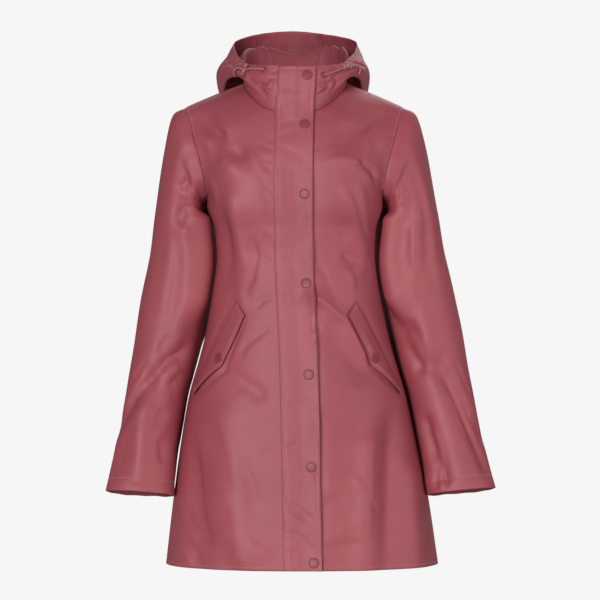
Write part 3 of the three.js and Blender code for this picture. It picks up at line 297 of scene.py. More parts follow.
# Creases of a sleeve, as on the body, with points of (turn, way along): at the back of either, and the others
SLEEVE_REAR_CREASES = [
    (-1.8, 6, 12, [(250, 0.5), (276, 0.545), (300, 0.57)]),
    (1.8, 6, 11, [(240, 0.56), (270, 0.6), (298, 0.63)]),
    (-2.0, 5, 12, [(236, 0.66), (264, 0.69), (296, 0.71)]),
    (1.5, 6, 12, [(244, 0.76), (276, 0.8), (306, 0.82)]),
    (-1.5, 7, 13, [(262, 0.3), (270, 0.4), (266, 0.48)]),
    (-1.4, 8, 14, [(282, 0.82), (278, 0.9), (280, 0.97)]),
    (-1.6, 5, 10, [(340, 0.1), (330, 0.18), (322, 0.26)]),
]
SLEEVE_CREASES = {
    -1: [
        (-1.8, 4, 9, [(96, 0.13), (84, 0.18), (70, 0.22)]),
        (1.9, 5, 9, [(104, 0.15), (92, 0.2), (76, 0.235)]),
        (-2.0, 5, 10, [(112, 0.23), (100, 0.26), (88, 0.29)]),
        (1.8, 5, 10, [(120, 0.27), (106, 0.31), (98, 0.36)]),
        (2.6, 7, 13, [(104, 0.33), (108, 0.42), (112, 0.52), (106, 0.585)]),
        (-2.0, 7, 13, [(86, 0.32), (90, 0.42), (94, 0.54), (90, 0.6)]),
        (1.3, 8, 13, [(72, 0.33), (76, 0.44), (80, 0.58)]),
        (-1.8, 5, 11, [(106, 0.585), (92, 0.61), (80, 0.65)]),
        (-2.4, 4, 9, [(138, 0.62), (118, 0.635), (98, 0.655), (90, 0.69)]),
        (2.0, 5, 9, [(130, 0.655), (112, 0.67), (100, 0.7)]),
        (-2.0, 5, 9, [(140, 0.68), (124, 0.7), (116, 0.73)]),
        (1.7, 5, 9, [(124, 0.73), (112, 0.75), (106, 0.79)]),
        (-2.6, 5, 12, [(92, 0.68), (66, 0.72), (40, 0.765), (22, 0.8)]),
        (1.8, 6, 10, [(96, 0.7), (72, 0.745), (46, 0.79)]),
        (-1.5, 4, 9, [(70, 0.66), (50, 0.69), (34, 0.73)]),
        (-1.6, 4, 8, [(112, 0.76), (108, 0.79), (104, 0.83)]),
        (1.6, 5, 10, [(124, 0.8), (112, 0.83), (110, 0.86)]),
        (-1.9, 5, 12, [(118, 0.84), (124, 0.88), (132, 0.92)]),
        (1.5, 8, 14, [(76, 0.8), (84, 0.88), (88, 0.96)]),
        (-1.6, 8, 14, [(46, 0.82), (50, 0.9), (52, 0.97)]),
        (-1.4, 6, 10, [(30, 0.86), (32, 0.94), (36, 1)]),
    ],
    1: [
        (-1.9, 4, 9, [(102, 0.1), (104, 0.16), (112, 0.22)]),
        (1.8, 5, 9, [(112, 0.13), (116, 0.19), (122, 0.25)]),
        (1.9, 8, 13, [(82, 0.12), (82, 0.24), (84, 0.36), (86, 0.48)]),
        (-2.0, 8, 14, [(66, 0.1), (64, 0.24), (66, 0.38), (72, 0.52)]),
        (1.4, 9, 13, [(46, 0.16), (48, 0.3), (50, 0.44)]),
        (-2.2, 6, 11, [(106, 0.3), (102, 0.38), (96, 0.46), (106, 0.52)]),
        (2.0, 6, 11, [(96, 0.34), (94, 0.42), (104, 0.49), (116, 0.53)]),
        (-2.0, 5, 10, [(128, 0.54), (116, 0.565), (106, 0.61)]),
        (1.9, 5, 10, [(138, 0.57), (122, 0.6), (114, 0.66)]),
        (-1.8, 5, 10, [(142, 0.61), (126, 0.64), (120, 0.69)]),
        (-2.6, 4, 11, [(94, 0.66), (76, 0.73), (58, 0.81), (42, 0.9)]),
        (2.0, 5, 9, [(100, 0.68), (82, 0.75), (64, 0.83), (50, 0.92)]),
        (-2.0, 4, 10, [(84, 0.655), (66, 0.72), (50, 0.78), (34, 0.85)]),
        (1.5, 5, 9, [(76, 0.64), (56, 0.7), (36, 0.78)]),
        (-1.4, 4, 9, [(62, 0.66), (46, 0.71), (30, 0.77)]),
        (-1.3, 4, 9, [(92, 0.72), (78, 0.79), (66, 0.88)]),
        (-2.4, 5, 11, [(142, 0.78), (132, 0.84), (126, 0.91)]),
        (1.9, 5, 9, [(128, 0.8), (120, 0.86), (118, 0.93)]),
        (-1.5, 4, 7, [(132, 0.93), (134, 0.96), (136, 1)]),
        (1.4, 3, 6, [(122, 0.92), (124, 0.96), (125, 1)]),
        (-1.4, 3, 6, [(114, 0.93), (115, 0.96), (116, 1)]),
    ],
}

# Hood sections from the left front (0), round the back (0.5), to the right front (1)
HOOD = {
    "at": [0, 0.08, 0.16, 0.22, 0.29, 0.36, 0.43, 0.5, 0.57, 0.64, 0.71, 0.78, 0.84, 0.92, 1],
    "crest": [
        (0, -106, -32), (46, -95, -26), (80, -57, 2), (86, -22, 34), (86, 16, 66), (74, 52, 76), (48, 72, 77),
        (3, 80, 64), (-45, 72, 76), (-74, 52, 74), (-86, 16, 64), (-85, -22, 34), (-80, -57, 2),
        (-46, -95, -26), (0, -106, -32),
    ],
    "bottom": [
        (0, -107, -6), (47, -99, -2), (85, -64, 14), (101, -28, 20), (112, 20, 12), (112, 90, -24),
        (66, 127, -92), (3, 134, -112), (-64, 127, -94), (-116, 88, -26), (-118, 20, 12), (-101, -28, 20),
        (-85, -64, 14), (-47, -99, -2), (0, -107, -6),
    ],
    "belly": [
        (0, -106, 14), (47, -98, 16), (85, -64, 27), (109, -26, 37), (123, 20, 38), (126, 90, 28), (82, 156, 8),
        (2, 178, -4), (-84, 157, 6), (-131, 88, 28), (-131, 20, 36), (-114, -26, 36), (-85, -64, 27),
        (-47, -98, 16), (0, -106, 14),
    ],
    "brim": [
        (0, -103, COLLAR_TOP_Z), (45, -93, 34), (78, -59, 40), (93, -24, 54), (104, 18, 70), (102, 78, 92),
        (52, 130, 108), (-6, 150, 115), (-64, 130, 108), (-103, 76, 90), (-102, 18, 68), (-91, -24, 50),
        (-77, -59, 39), (-45, -93, 34), (0, -103, COLLAR_TOP_Z),
    ],
}
HOOD_LEVELS = [0, 0.15, 0.5, 0.75, 1]
HOOD_ROUND = 700.0  # millimetres of hood for a whole round, and for a whole climb
HOOD_CLIMB = 300.0
# Creases of the hood, as on the body, with points of (round, climb)
HOOD_CREASES = [
    (-3.0, 4, 8, [(0.93, 0.62), (0.9, 0.5), (0.905, 0.36), (0.93, 0.26)]),
    (2.6, 4, 8, [(0.945, 0.7), (0.93, 0.52), (0.93, 0.4)]),
    (-2.4, 4, 7, [(0.87, 0.7), (0.87, 0.52), (0.9, 0.34), (0.925, 0.16)]),
    (1.8, 4, 7, [(0.845, 0.66), (0.85, 0.46), (0.88, 0.26)]),
    (-2.8, 4, 8, [(0.06, 0.7), (0.1, 0.56), (0.1, 0.42), (0.075, 0.3)]),
    (2.2, 4, 8, [(0.05, 0.6), (0.075, 0.46), (0.06, 0.34)]),
    (-2.2, 4, 8, [(0.16, 0.8), (0.12, 0.66), (0.13, 0.46), (0.11, 0.24)]),
    (1.6, 4, 7, [(0.17, 0.6), (0.15, 0.44), (0.14, 0.2)]),
    (-1.4, 3, 6, [(0.965, 0.96), (0.945, 0.86), (0.94, 0.78)]),
    (-1.4, 3, 6, [(0.98, 0.94), (0.97, 0.82), (0.965, 0.74)]),
    (-1.3, 3, 6, [(0.03, 0.95), (0.045, 0.86), (0.05, 0.76)]),
    (-2.4, 6, 12, [(0.8, 0.92), (0.77, 0.82), (0.73, 0.74)]),
    (2.0, 6, 11, [(0.8, 0.78), (0.76, 0.7), (0.72, 0.62)]),
    (-2.2, 6, 12, [(0.2, 0.92), (0.23, 0.82), (0.28, 0.74)]),
    (1.8, 6, 11, [(0.2, 0.78), (0.24, 0.7), (0.29, 0.62)]),
    (-1.8, 7, 14, [(0.68, 0.95), (0.66, 0.84), (0.62, 0.74)]),
    (-1.8, 7, 14, [(0.32, 0.95), (0.34, 0.84), (0.38, 0.74)]),
    (2.2, 7, 12, [(0.6, 0.94), (0.58, 0.8), (0.56, 0.66)]),
    (2.2, 7, 12, [(0.4, 0.94), (0.42, 0.8), (0.44, 0.66)]),
    (-2.6, 7, 14, [(0.5, 0.95), (0.5, 0.84), (0.49, 0.7)]),
    (-2.0, 6, 12, [(0.46, 0.6), (0.5, 0.55), (0.54, 0.6)]),
    (-2.6, 4, 8, [(0.62, 0.36), (0.6, 0.22), (0.61, 0.08)]),
    (2.0, 4, 8, [(0.6, 0.34), (0.575, 0.22), (0.585, 0.08)]),
    (-2.2, 4, 8, [(0.4, 0.34), (0.385, 0.22), (0.38, 0.08)]),
    (2.2, 4, 8, [(0.37, 0.36), (0.355, 0.24), (0.35, 0.1)]),
    (-2.0, 4, 9, [(0.345, 0.34), (0.33, 0.22), (0.33, 0.06)]),
    (-2.6, 6, 10, [(0.475, 0.14), (0.5, 0.22), (0.525, 0.14)]),
    (-1.8, 5, 10, [(0.68, 0.4), (0.66, 0.26), (0.67, 0.1)]),
]

PLACKET_LINE = table(
    "z x",
    (HEM_Z, 13.1), (-654, 10.2), (-588, 9), (-470, 6.2), (-357, 0.8), (-290, -2.2), (-136, -2.7), (-45, -1),
    (COLLAR_TOP_Z, 3.6),
)
# Creases of the placket, with points of (millimetres from its middle, z)
PLACKET_CREASES = [
    (-1.2, 3, 7, [(-28, -6), (0, -20), (22, -14)]),
    (1.1, 4, 9, [(-24, -50), (0, -34), (20, -14), (28, 2)]),
    (-1.1, 3, 7, [(-28, -68), (-8, -60), (14, -64)]),
    (-0.9, 3, 6, [(-28, -86), (-6, -80), (10, -70)]),
    (-1.0, 3, 7, [(-28, -118), (-10, -108), (14, -120), (28, -136)]),
    (-0.8, 3, 6, [(-28, -150), (-6, -140), (10, -148)]),
    (-0.7, 3, 7, [(18, -196), (10, -212), (6, -226)]),
    (-0.8, 3, 7, [(-28, -300), (-10, -292), (10, -306)]),
    (-0.8, 3, 7, [(-28, -356), (-6, -350), (12, -366)]),
    (-0.7, 3, 6, [(16, -340), (6, -356), (0, -366)]),
    (-0.8, 3, 7, [(-28, -520), (0, -530), (26, -522)]),
    (-1.1, 3, 8, [(-28, -604), (-8, -594), (12, -604)]),
    (-1.5, 3, 8, [(-28, -690), (-6, -700), (20, -720)]),
    (1.2, 4, 9, [(-28, -712), (-4, -722), (22, -744)]),
    (-1.3, 3, 8, [(-28, -732), (0, -750), (26, -780)]),
    (-1.2, 3, 7, [(-28, -776), (-8, -770), (10, -780)]),
]
# How far the placket's free edge stands off the coat
PLACKET_EDGE = table(
    "z lift",
    (HEM_Z, 6), (-770, 4), (-720, 6), (-660, 4.4), (-600, 8), (-560, 10.5), (-520, 6), (-470, 6), (-430, 9.5),
    (-390, 6), (-350, 10), (-320, 5.4), (-286, 9.5), (-250, 5), (-180, 5), (-130, 3.4), (-90, 6), (-50, 4.6),
    (-10, 5), (COLLAR_TOP_Z, 3.2),
)
SNAPS = table("x z", (18, 17), (18, -65), (18.5, -182), (19, -329), (16.5, -480), (17.5, -632), (18.5, -789))

FLAP_SEWN = ((0.44, -359), (0.765, -507))
FLAP_FREE = ((0.36, -382), (0.49, -466), (0.715, -517))
FLAP_POINT_SHARE = 0.6
FLAP_LIFT = 0.9
FLAP_EDGE_LIFT = 5.2
FLAP_SNAP = (0.56, 0.68)

# Drawcords: (round, climb, lift) from the eyelet to the lock, and of the free end; places of the lock's two ends
DRAWCORDS = {
    "right": {
        "route": [(0.91, 0.88, -1.5), (0.91, 0.88, 3.4), (0.902, 0.87, 4.6), (0.885, 0.85, 4.6), (0.866, 0.82, 5.4)],
        "lock": [(0.846, 0.55, 7.5), (0.846, 1, 7.5)],
        "tail": [(0.826, 0.76, 6), (0.812, 0.68, 4.4), (0.802, 0.56, 3)],
    },
    "left": {
        "route": [(0.082, 0.76, -1.5), (0.082, 0.76, 3.4), (0.09, 0.765, 4.6), (0.106, 0.78, 4), (0.122, 0.8, 4.2)],
        "lock": [(0.14, 0.83, 4.3), (0.186, 0.8, 4.3)],
        "tail": [(0.204, 0.77, 4), (0.212, 0.71, 3.2), (0.217, 0.62, 3)],
    },
}


def curve(places, values, at, strict=True):
    """A smooth cubic through (places, values). A strict one never passes beyond its values."""
    places = np.asarray(places, float)
    values = np.asarray(values, float)
    at = np.clip(np.asarray(at, float), places[0], places[-1])
    x = at.ravel()
    single = values.ndim == 1
    values = values.reshape(len(places), -1)
    spans = np.diff(places)[:, None]
    rises = np.diff(values, axis=0) / spans
    slopes = np.concatenate([rises[:1], rises[1:], rises[-1:]]).astype(float)
    before, after = rises[:-1], rises[1:]
    if strict:
        same = before * after > 0
        slopes[1:-1] = np.where(same, 2 * before * after / np.where(same, before + after, 1), 0)
    else:
        slopes[1:-1] = (values[2:] - values[:-2]) / (places[2:] - places[:-2])[:, None]
    i = np.searchsorted(places[1:-1], x, side="left")
    n = 0 if single else np.arange(x.size)
    span = places[i + 1] - places[i]
    t = (x - places[i]) / span
    start, end = values[i, n], values[i + 1, n]
    result = start + (end - start) * t * t * (3 - 2 * t)
    result += span * (t * (1 - t) ** 2 * slopes[i, n] + t * t * (t - 1) * slopes[i + 1, n])
    return result.reshape(at.shape)


def reader(columns, key):
    """A function that reads all columns of a table at a place."""
    names = [name for name in columns if name != key]
    return lambda at: {name: curve(columns[key], columns[name], at) for name in names}


def joined_rows(side_rows, sign, depth):
    """The rings of the lower body, followed by the sections above the underarm."""
    n = len(RINGS["at"])
    nothing = np.zeros(n)
    lower = {
        "at": RINGS["at"], "cx": nothing, "cy": sign * RINGS[depth], "cz": RINGS["z"], "sx": RINGS["half"],
        "sy": nothing, "sz": RINGS["z"], "round": np.ones(n), "square": RINGS["square"],
    }
    return {name: np.concatenate([lower[name], side_rows[name]]) for name in side_rows}


lean_at = reader(LEAN, "z")
seam_at = reader(SIDE_SEAMS, "at")
placket_at = reader(PLACKET_LINE, "z")
edge_at = reader(PLACKET_EDGE, "z")
front_at = reader(joined_rows(CHEST, -1, "front"), "at")
back_at = reader(joined_rows(YOKE, 1, "back"), "at")


def unit(vectors):
    return vectors / np.maximum(np.linalg.norm(vectors, axis=-1, keepdims=True), 1e-9)


def fold_height(folds, x, y):
    total = np.zeros(np.broadcast(x, y).shape)
    for x1, y1, x2, y2, width, height in folds:
        dx, dy = x2 - x1, y2 - y1
        along = np.clip(((x - x1) * dx + (y - y1) * dy) / (dx * dx + dy * dy), 0, 1)
        away = np.hypot(x - x1 - along * dx, y - y1 - along * dy) / width
        total += height * np.exp(-away * away)
    return total


def crease_height(creases, x, y, scale=(1.0, 1.0), widen=1.0):
    """Creases along bent lines. Each is steeper on one side and fades towards its ends."""
    total = np.zeros(np.broadcast(x, y).shape)
    x, y = np.broadcast_arrays(np.asarray(x, float) * scale[0], np.asarray(y, float) * scale[1])
    for height, left, right, line in creases:
        points = np.array(line, float) * scale
        left, right = left * widen, right * widen
        lengths = np.linalg.norm(np.diff(points, axis=0), axis=1)
        reach = 3 * max(left, right)
        low, high = points.min(axis=0) - reach, points.max(axis=0) + reach
        near = (x > low[0]) & (x < high[0]) & (y > low[1]) & (y < high[1])
        if not near.any():
            continue
        px, py = x[near], y[near]
        best = np.full(px.shape, 1e9)
        side = np.zeros(px.shape)
        way = np.zeros(px.shape)
        for k, length in enumerate(lengths):
            (ax, ay), (bx, by) = points[k], points[k + 1]
            dx, dy = bx - ax, by - ay
            t = np.clip(((px - ax) * dx + (py - ay) * dy) / length**2, 0, 1)
            away = np.hypot(px - ax - t * dx, py - ay - t * dy)
            nearer = away < best
            best = np.where(nearer, away, best)
            side = np.where(nearer, dx * (py - ay) - dy * (px - ax), side)
            way = np.where(nearer, (lengths[:k].sum() + t * length) / lengths.sum(), way)
        width = left + (right - left) / (1 + np.exp(side / (lengths.mean() * left * 0.5)))
        ends = np.clip(np.minimum(way, 1 - way) / 0.3, 0, 1)
        strength = 0.12 + 0.88 * ends * ends * (3 - 2 * ends)
        total[near] += height * strength * np.exp(-((best / width) ** 2))
    return total


def smooth_noise(x, y, size, seed):
    """Soft waves of about one size, the same on each run."""
    random = np.random.default_rng(seed)
    total = np.zeros(np.broadcast(x, y).shape)
    for _ in range(7):
        angle, phase, stretch = random.uniform(0, math.tau), random.uniform(0, math.tau), random.uniform(0.7, 1.5)
        total += np.sin((x * math.cos(angle) + y * math.sin(angle)) * math.tau / (size * stretch) + phase)
    return total / 4


def body_base(on_back, rise, share, side):
    """The body before its folds. Share goes from the centre (0) to the side or armhole (1)."""
    row = (back_at if on_back else front_at)(rise)
    turn = share * math.pi / 2
    corner = 1 + row["square"] * np.sin(2 * turn) ** 2
    around = row["round"]
    across = (1 - around) * share + around * np.sin(turn) * corner
    deep = (1 - around) * (1 - share) + around * np.cos(turn) * corner
    z = row["cz"] + (row["sz"] - row["cz"]) * share ** (1 + 0.7 * around)
    x = side * (row["cx"] + (row["sx"] - row["cx"]) * across) + lean_at(z)["x"]
    y = row["sy"] + (row["cy"] - row["sy"]) * deep
    return np.stack(np.broadcast_arrays(x, y, z), axis=-1)


def body_normal(on_back, rise, share, side):
    step = NORMAL_STEP
    end = body_base(on_back, rise, np.minimum(share + step, 1), side)
    start = body_base(on_back, rise, np.maximum(share - step, 0), side)
    mirrored = end * [-1, 1, 1]
    mirrored[..., 0] += 2 * lean_at(start[..., 2])["x"]
    joined = (share == 0) & (rise <= (NECK_BACK if on_back else NECK_FRONT))
    start = np.where(joined[..., None], mirrored, start)
    up = body_base(on_back, np.minimum(rise + step, 1), share, side)
    up = up - body_base(on_back, np.maximum(rise - step, 0), share, side)
    outwards = unit(np.cross(end - start, up))
    return outwards * (np.asarray(side)[..., None] * (-1 if on_back else 1))


def body(on_back, rise, share, side, lift=0.0):
    """A place on the body with its folds and creases, moved out by lift."""
    rise, share, side = np.broadcast_arrays(*(np.asarray(n, float) for n in (rise, share, side)))
    point = body_base(on_back, rise, share, side)
    normal = body_normal(on_back, rise, share, side)
    faces = np.minimum(1, 1.6 * np.abs(normal[..., 1]))
    fade = np.minimum(1, (1 - rise) / 0.05)
    x, z = point[..., 0], point[..., 2]
    height = fold_height(BACK_FOLDS if on_back else FRONT_FOLDS, x, z) * faces
    creases = crease_height(BACK_CREASES if on_back else FRONT_CREASES, x, z)
    height += CREASE_DEPTH * creases * np.minimum(1, faces * 1.5)
    height += 0.5 * smooth_noise(x, z, 120, 5 if on_back else 3) * faces
    return point + normal * (height * fade + lift)[..., None]


def body_round(rise, around, side, lift=0.0):
    """The same, going round the body: 0 is the centre front, 1 the side and 2 the centre back."""
    front = body(False, rise, np.clip(around, 0, 1), side, lift)
    back = body(True, rise, np.clip(2 - around, 0, 1), side, lift)
    return np.where((np.asarray(around) <= 1)[..., None], front, back)


def neckline(around, lift=0.0):
    """Where the hood is sewn on, from the left front, round the back, to the right front."""
    around = np.asarray(around, float)
    side = np.where(around <= 0.5, 1.0, -1.0)
    way = np.minimum(around, 1 - around)
    front = body(False, np.clip(NECK_FRONT + (1 - NECK_FRONT) * way / HOOD_SHOULDER, 0, 1), 0 * way, side, lift)
    fall = np.clip((way - HOOD_SHOULDER) / (0.5 - HOOD_SHOULDER), 0, 1)
    back = body(True, 1 - (1 - NECK_BACK) * fall, 0 * way, side, lift)
    return np.where((way <= HOOD_SHOULDER)[..., None], front, back)


def hood_base(around, climb):
    around, climb = np.broadcast_arrays(np.asarray(around, float), np.asarray(climb, float))
    neck = neckline(around)
    behind = np.maximum(0, np.cos((around - 0.5) * math.pi * 1.7))
    near_brim = np.clip((climb - 0.85) / 0.15, 0, 1)
    axes = []
    for k in range(3):
        levels = [neck[..., k]]
        for level in ("crest", "bottom", "belly", "brim"):
            levels.append(curve(HOOD["at"], [place[k] for place in HOOD[level]], around, strict=False))
        axes.append(curve(HOOD_LEVELS, np.stack(levels).reshape(5, -1), climb, strict=False))
    axes[1] = axes[1] + 1.6 * smooth_noise(around * HOOD_ROUND, 0 * around, 26, 77) * behind * near_brim
    return np.stack(axes, axis=-1)


def hood(around, climb, lift=0.0):
    """A place on the hood's outer face: round from the left front, and climb from the neck seam to the brim.

    Under the placket it has no creases.
    """
    around, climb = np.broadcast_arrays(np.asarray(around, float), np.asarray(climb, float))
    step = NORMAL_STEP
    left, right = hood_base((around - step) % 1, climb), hood_base((around + step) % 1, climb)
    low = hood_base(around, np.clip(climb - step, 0, 1))
    high = hood_base(around, np.clip(climb + step, 0, 1))
    normal = unit(np.cross(right - left, high - low))
    height = HOOD_CREASE_DEPTH * crease_height(HOOD_CREASES, around, climb, (HOOD_ROUND, HOOD_CLIMB))
    pull = np.clip((climb - 0.8) / 0.14, 0, 1) * np.clip((1 - climb) / 0.03, 0.3, 1)
    height += 0.7 * pull * smooth_noise(around * HOOD_ROUND, climb * 60, 13, 11)
    height *= np.clip(climb / 0.06, 0, 1) * np.clip((np.minimum(around % 1, 1 - around % 1) - 0.035) / 0.03, 0, 1)
    return hood_base(around, climb) + normal * (height + lift)[..., None]


def armhole(turn, side):
    """The armhole of the body at a turn of the sleeve: 0 is the shoulder, 90 the front, 180 the underarm."""
    turn = np.asarray(turn, float) % 360
    back = body(True, UNDERARM + (1 - UNDERARM) * np.clip((turn - 180) / 180, 0, 1), 1.0 + 0 * turn, side)
    front = body(False, UNDERARM + (1 - UNDERARM) * np.clip(1 - turn / 180, 0, 1), 1.0 + 0 * turn, side)
    return np.where((turn > 180)[..., None], back, front)


def sleeve_base(turn, along, side):
    rings = SLEEVE_RINGS[side]
    seam = armhole(turn, side)
    t = np.radians(turn)[..., None]
    loops = []
    for k in range(len(rings["at"])):
        tilt_side, tilt_fore = math.radians(rings["side"][k]), math.radians(rings["fore"][k])
        outwards = np.array([side * math.cos(tilt_side), 0, math.sin(tilt_side)])
        forwards = np.array([0, -math.cos(tilt_fore), math.sin(tilt_fore)])
        centre = np.array([rings["x"][k], rings["y"][k], rings["z"][k]])
        loops.append(centre + outwards * rings["wide"][k] * np.cos(t) + forwards * rings["deep"][k] * np.sin(t))
    outer = np.cos(t / 2) ** 2
    cap = []
    for k in range(len(CAP["at"])):
        swell = side * (CAP["out"][k] * outer + CAP["under"][k] * (1 - outer)) * np.array([1, 0, 0])
        swell = swell + CAP["up"][k] * outer * np.array([0, 0, 1])
        cap.append(seam + (loops[0] - seam) * CAP["toward"][k] + swell)
    places = np.concatenate([[0], CAP["at"], rings["at"]])
    shape = np.broadcast(turn, along).shape
    stacked = np.stack([np.broadcast_to(loop, shape + (3,)) for loop in (seam, *cap, *loops)])
    way = np.broadcast_to(along, shape)
    return np.stack([curve(places, stacked[..., k], way, strict=False) for k in range(3)], axis=-1)


def sleeve(turn, along, side):
    """A sleeve with its folds and creases."""
    down = sleeve_base(turn, np.clip(along + 0.005, 0, 1), side)
    down = down - sleeve_base(turn, np.clip(along - 0.005, 0, 1), side)
    forwards = sleeve_base(turn + 2, along, side) - sleeve_base(turn - 2, along, side)
    normal = unit(np.cross(down, forwards)) * -side
    turn_b, along_b = np.broadcast_arrays(np.asarray(turn, float), np.asarray(along, float))
    height = np.zeros(turn_b.shape)
    for whole in (-360, 0, 360):
        x, y = (turn_b + whole) * CLOTH_PER_DEGREE, along_b * SLEEVE_LENGTH
        flats = [
            (a * CLOTH_PER_DEGREE, b * SLEEVE_LENGTH, c * CLOTH_PER_DEGREE, d * SLEEVE_LENGTH, w, h)
            for a, b, c, d, w, h in SLEEVE_FOLDS[side]
        ]
        height += fold_height(flats, x, y)
        height += CREASE_DEPTH * crease_height(
            [*SLEEVE_CREASES[side], *SLEEVE_REAR_CREASES], turn_b + whole, along_b,
            (CLOTH_PER_DEGREE, SLEEVE_LENGTH), widen=1.35,
        )
        for at, width, line in SLEEVE_ROLLS[side]:
            places, heights = zip(*line)
            high = curve([0, *places, 1.001], [heights[0], *heights, heights[-1]], along_b)
            height += high * np.exp(-(((turn_b + whole - at) * CLOTH_PER_DEGREE / width) ** 2))
    ripple = smooth_noise(np.cos(np.radians(turn_b)) * 55, along_b * SLEEVE_LENGTH, 110, 21 + side)
    height += 0.6 * ripple
    fade = np.clip(np.minimum(along_b / 0.1, (1 - along_b) / 0.04 + 0.3), 0, 1)
    return sleeve_base(turn, along, side) + normal * (height * fade)[..., None]


def place_seen(surface, x, z, start, limits):
    """The places on a surface whose points are at (x, z) when they are seen from the front."""
    u, v = (np.broadcast_to(n, x.shape).astype(float).copy() for n in start)
    step = 0.001
    for _ in range(10):
        p = surface(u, v)
        du = (surface(u + step, v) - p) / step
        dv = (surface(u, v + step) - p) / step
        det = du[..., 0] * dv[..., 2] - dv[..., 0] * du[..., 2]
        off_x, off_z = x - p[..., 0], z - p[..., 2]
        u = np.clip(u + (off_x * dv[..., 2] - off_z * dv[..., 0]) / det, *limits[0])
        v = np.clip(v + (off_z * du[..., 0] - off_x * du[..., 2]) / det, *limits[1])
    return u, v


def front_outside(x, z):
    """The outside of the closed front, collar included, at (x, z) as seen from the front."""
    x, z = np.broadcast_arrays(*(np.asarray(n, float) for n in (x, z)))
    side = np.where(x >= lean_at(z)["x"], 1.0, -1.0)
    result = np.zeros(x.shape + (3,))
    low = z < -43
    if low.any():
        s = side[low]
        start = ((z[low] - HEM_Z) / (-44 - HEM_Z) * NECK_FRONT, 0.15)
        rise, share = place_seen(
            lambda u, v: body_base(False, u, v, s), x[low], z[low], start, [(0, 0.93), (0, 0.9)]
        )
        result[low] = body(False, rise, share, s)
    high = ~low
    if high.any():
        s = side[high]
        start = (0.05, (z[high] + 44) / 78)
        way, climb = place_seen(
            lambda u, v: hood_base(np.where(s > 0, u, 1 - u), v), x[high], z[high], start, [(0, 0.2), (0.001, 0.999)]
        )
        result[high] = hood(np.where(s > 0, way, 1 - way), climb)
    return result


def placket_lift(z, across):
    """How far the placket stands in front of the coat: across it from -1 at its sewn edge to 1 at its free edge."""
    sewn = 1.3 * (1 - np.exp(-((across + 1) * PLACKET_WIDTH / 2 / 4)))
    free = edge_at(z)["lift"] * np.clip(across, 0, 1) ** 1.6
    creases = crease_height(PLACKET_CREASES, across * PLACKET_WIDTH / 2, z, widen=1.6)
    return 0.7 + sewn + free + creases * np.clip((1.12 - np.abs(across)) / 0.2, 0.2, 1)


def rise_of(z):
    """How far up the body a height is, below the underarm."""
    rises = np.linspace(0, UNDERARM, 400)
    return np.interp(z, front_at(rises)["cz"], rises)


def flap(along, across, side, lift):
    """A pocket flap: along it from its top, and across it from its sewn edge."""
    along, across, lift = np.broadcast_arrays(*(np.asarray(n, float) for n in (along, across, lift)))
    sewn = np.array(FLAP_SEWN)
    free = np.array(FLAP_FREE)
    places = [0, FLAP_POINT_SHARE, 1]
    start = [np.interp(along, [0, 1], sewn[:, k]) for k in (0, 1)]
    end = [np.interp(along, places, free[:, k]) for k in (0, 1)]
    around, z = (a + (b - a) * across for a, b in zip(start, end))
    rounding = 1 - np.exp(-across * 14)
    return body(False, rise_of(z), around, side, lift + 1.2 * rounding + FLAP_EDGE_LIFT * across**1.5)


def way_along(points, axis=0):
    """Millimetres from the first of the points, along them."""
    lengths = np.linalg.norm(np.diff(points, axis=axis), axis=-1)
    return np.cumsum(np.insert(lengths, 0, 0, axis=axis), axis=axis)


def place_on(line, ways, at):
    """The place at a way along a line of points."""
    return np.array([np.interp(at, ways, line[:, axis]) for axis in range(3)])


def new_object(name, bm, smooth=True):
    mesh = bpy.data.meshes.new(name)
    bm.to_mesh(mesh)
    bm.free()
    for polygon in mesh.polygons:
        polygon.use_smooth = smooth
    piece = bpy.data.objects.new(name, mesh)
    bpy.context.collection.objects.link(piece)
    return piece


def sheet_mesh(name, grids):
    """One mesh of one or more grids that join where their edges meet, with UVs in metres along the cloth.

    The rows of a grid run from bottom to top, and each from left to right as seen from outside.
    """
    bm = bmesh.new()
    layer = bm.loops.layers.uv.new("cloth")
    for points in grids:
        rows, columns = points.shape[:2]
        made = bmesh.ops.create_grid(bm, x_segments=columns - 1, y_segments=rows - 1, size=0.5)["verts"]
        order = sorted(made, key=lambda v: (round(v.co.y, 5), round(v.co.x, 5)))
        across, upward = way_along(points, 1), way_along(points, 0)
        flat_uv = np.stack([across - across[:, columns // 2][:, None], upward], axis=-1).reshape(-1, 2) * MM
        number = {}
        for k, vertex in enumerate(order):
            vertex.co = points.reshape(-1, 3)[k] * MM
            number[vertex] = k
        for face in {face for vertex in made for face in vertex.link_faces}:
            for loop in face.loops:
                loop[layer].uv = flat_uv[number[loop.vert]]
    bmesh.ops.remove_doubles(bm, verts=bm.verts, dist=0.00012)
    return new_object(name, bm)


def edge_distance(points, edge):
    """Millimetres from one edge of a grid, along its lines."""
    axis = 1 if edge in ("left", "right") else 0
    way = way_along(points, axis)
    if edge in ("right", "top"):
        way = (way[:, -1:] if axis == 1 else way[-1:]) - way
    return way


def grid_normals(points):
    across = np.gradient(points, axis=1)
    upward = np.gradient(points, axis=0)
    return unit(np.cross(across, upward))


def eased(points, reach, weight, axes=slice(None)):
    """The grid drawn by weight towards the mean of its rows above and below."""
    steps = np.arange(-2 * reach, 2 * reach + 1)
    shares = np.exp(-((steps / reach) ** 2))
    padded = np.pad(points, ((2 * reach, 2 * reach), (0, 0), (0, 0)), mode="edge")
    soft = sum(share * padded[k : k + len(points)] for k, share in enumerate(shares / shares.sum()))
    result = points.copy()
    result[..., axes] += ((soft - points) * weight[..., None])[..., axes]
    return result


def hump(x, first, last, ramp):
    """1 between first and last, and falling smoothly to 0 over a ramp before and after."""
    t = np.clip(np.minimum(x - first, last - x) / ramp + 1, 0, 1)
    return t * t * (3 - 2 * t)


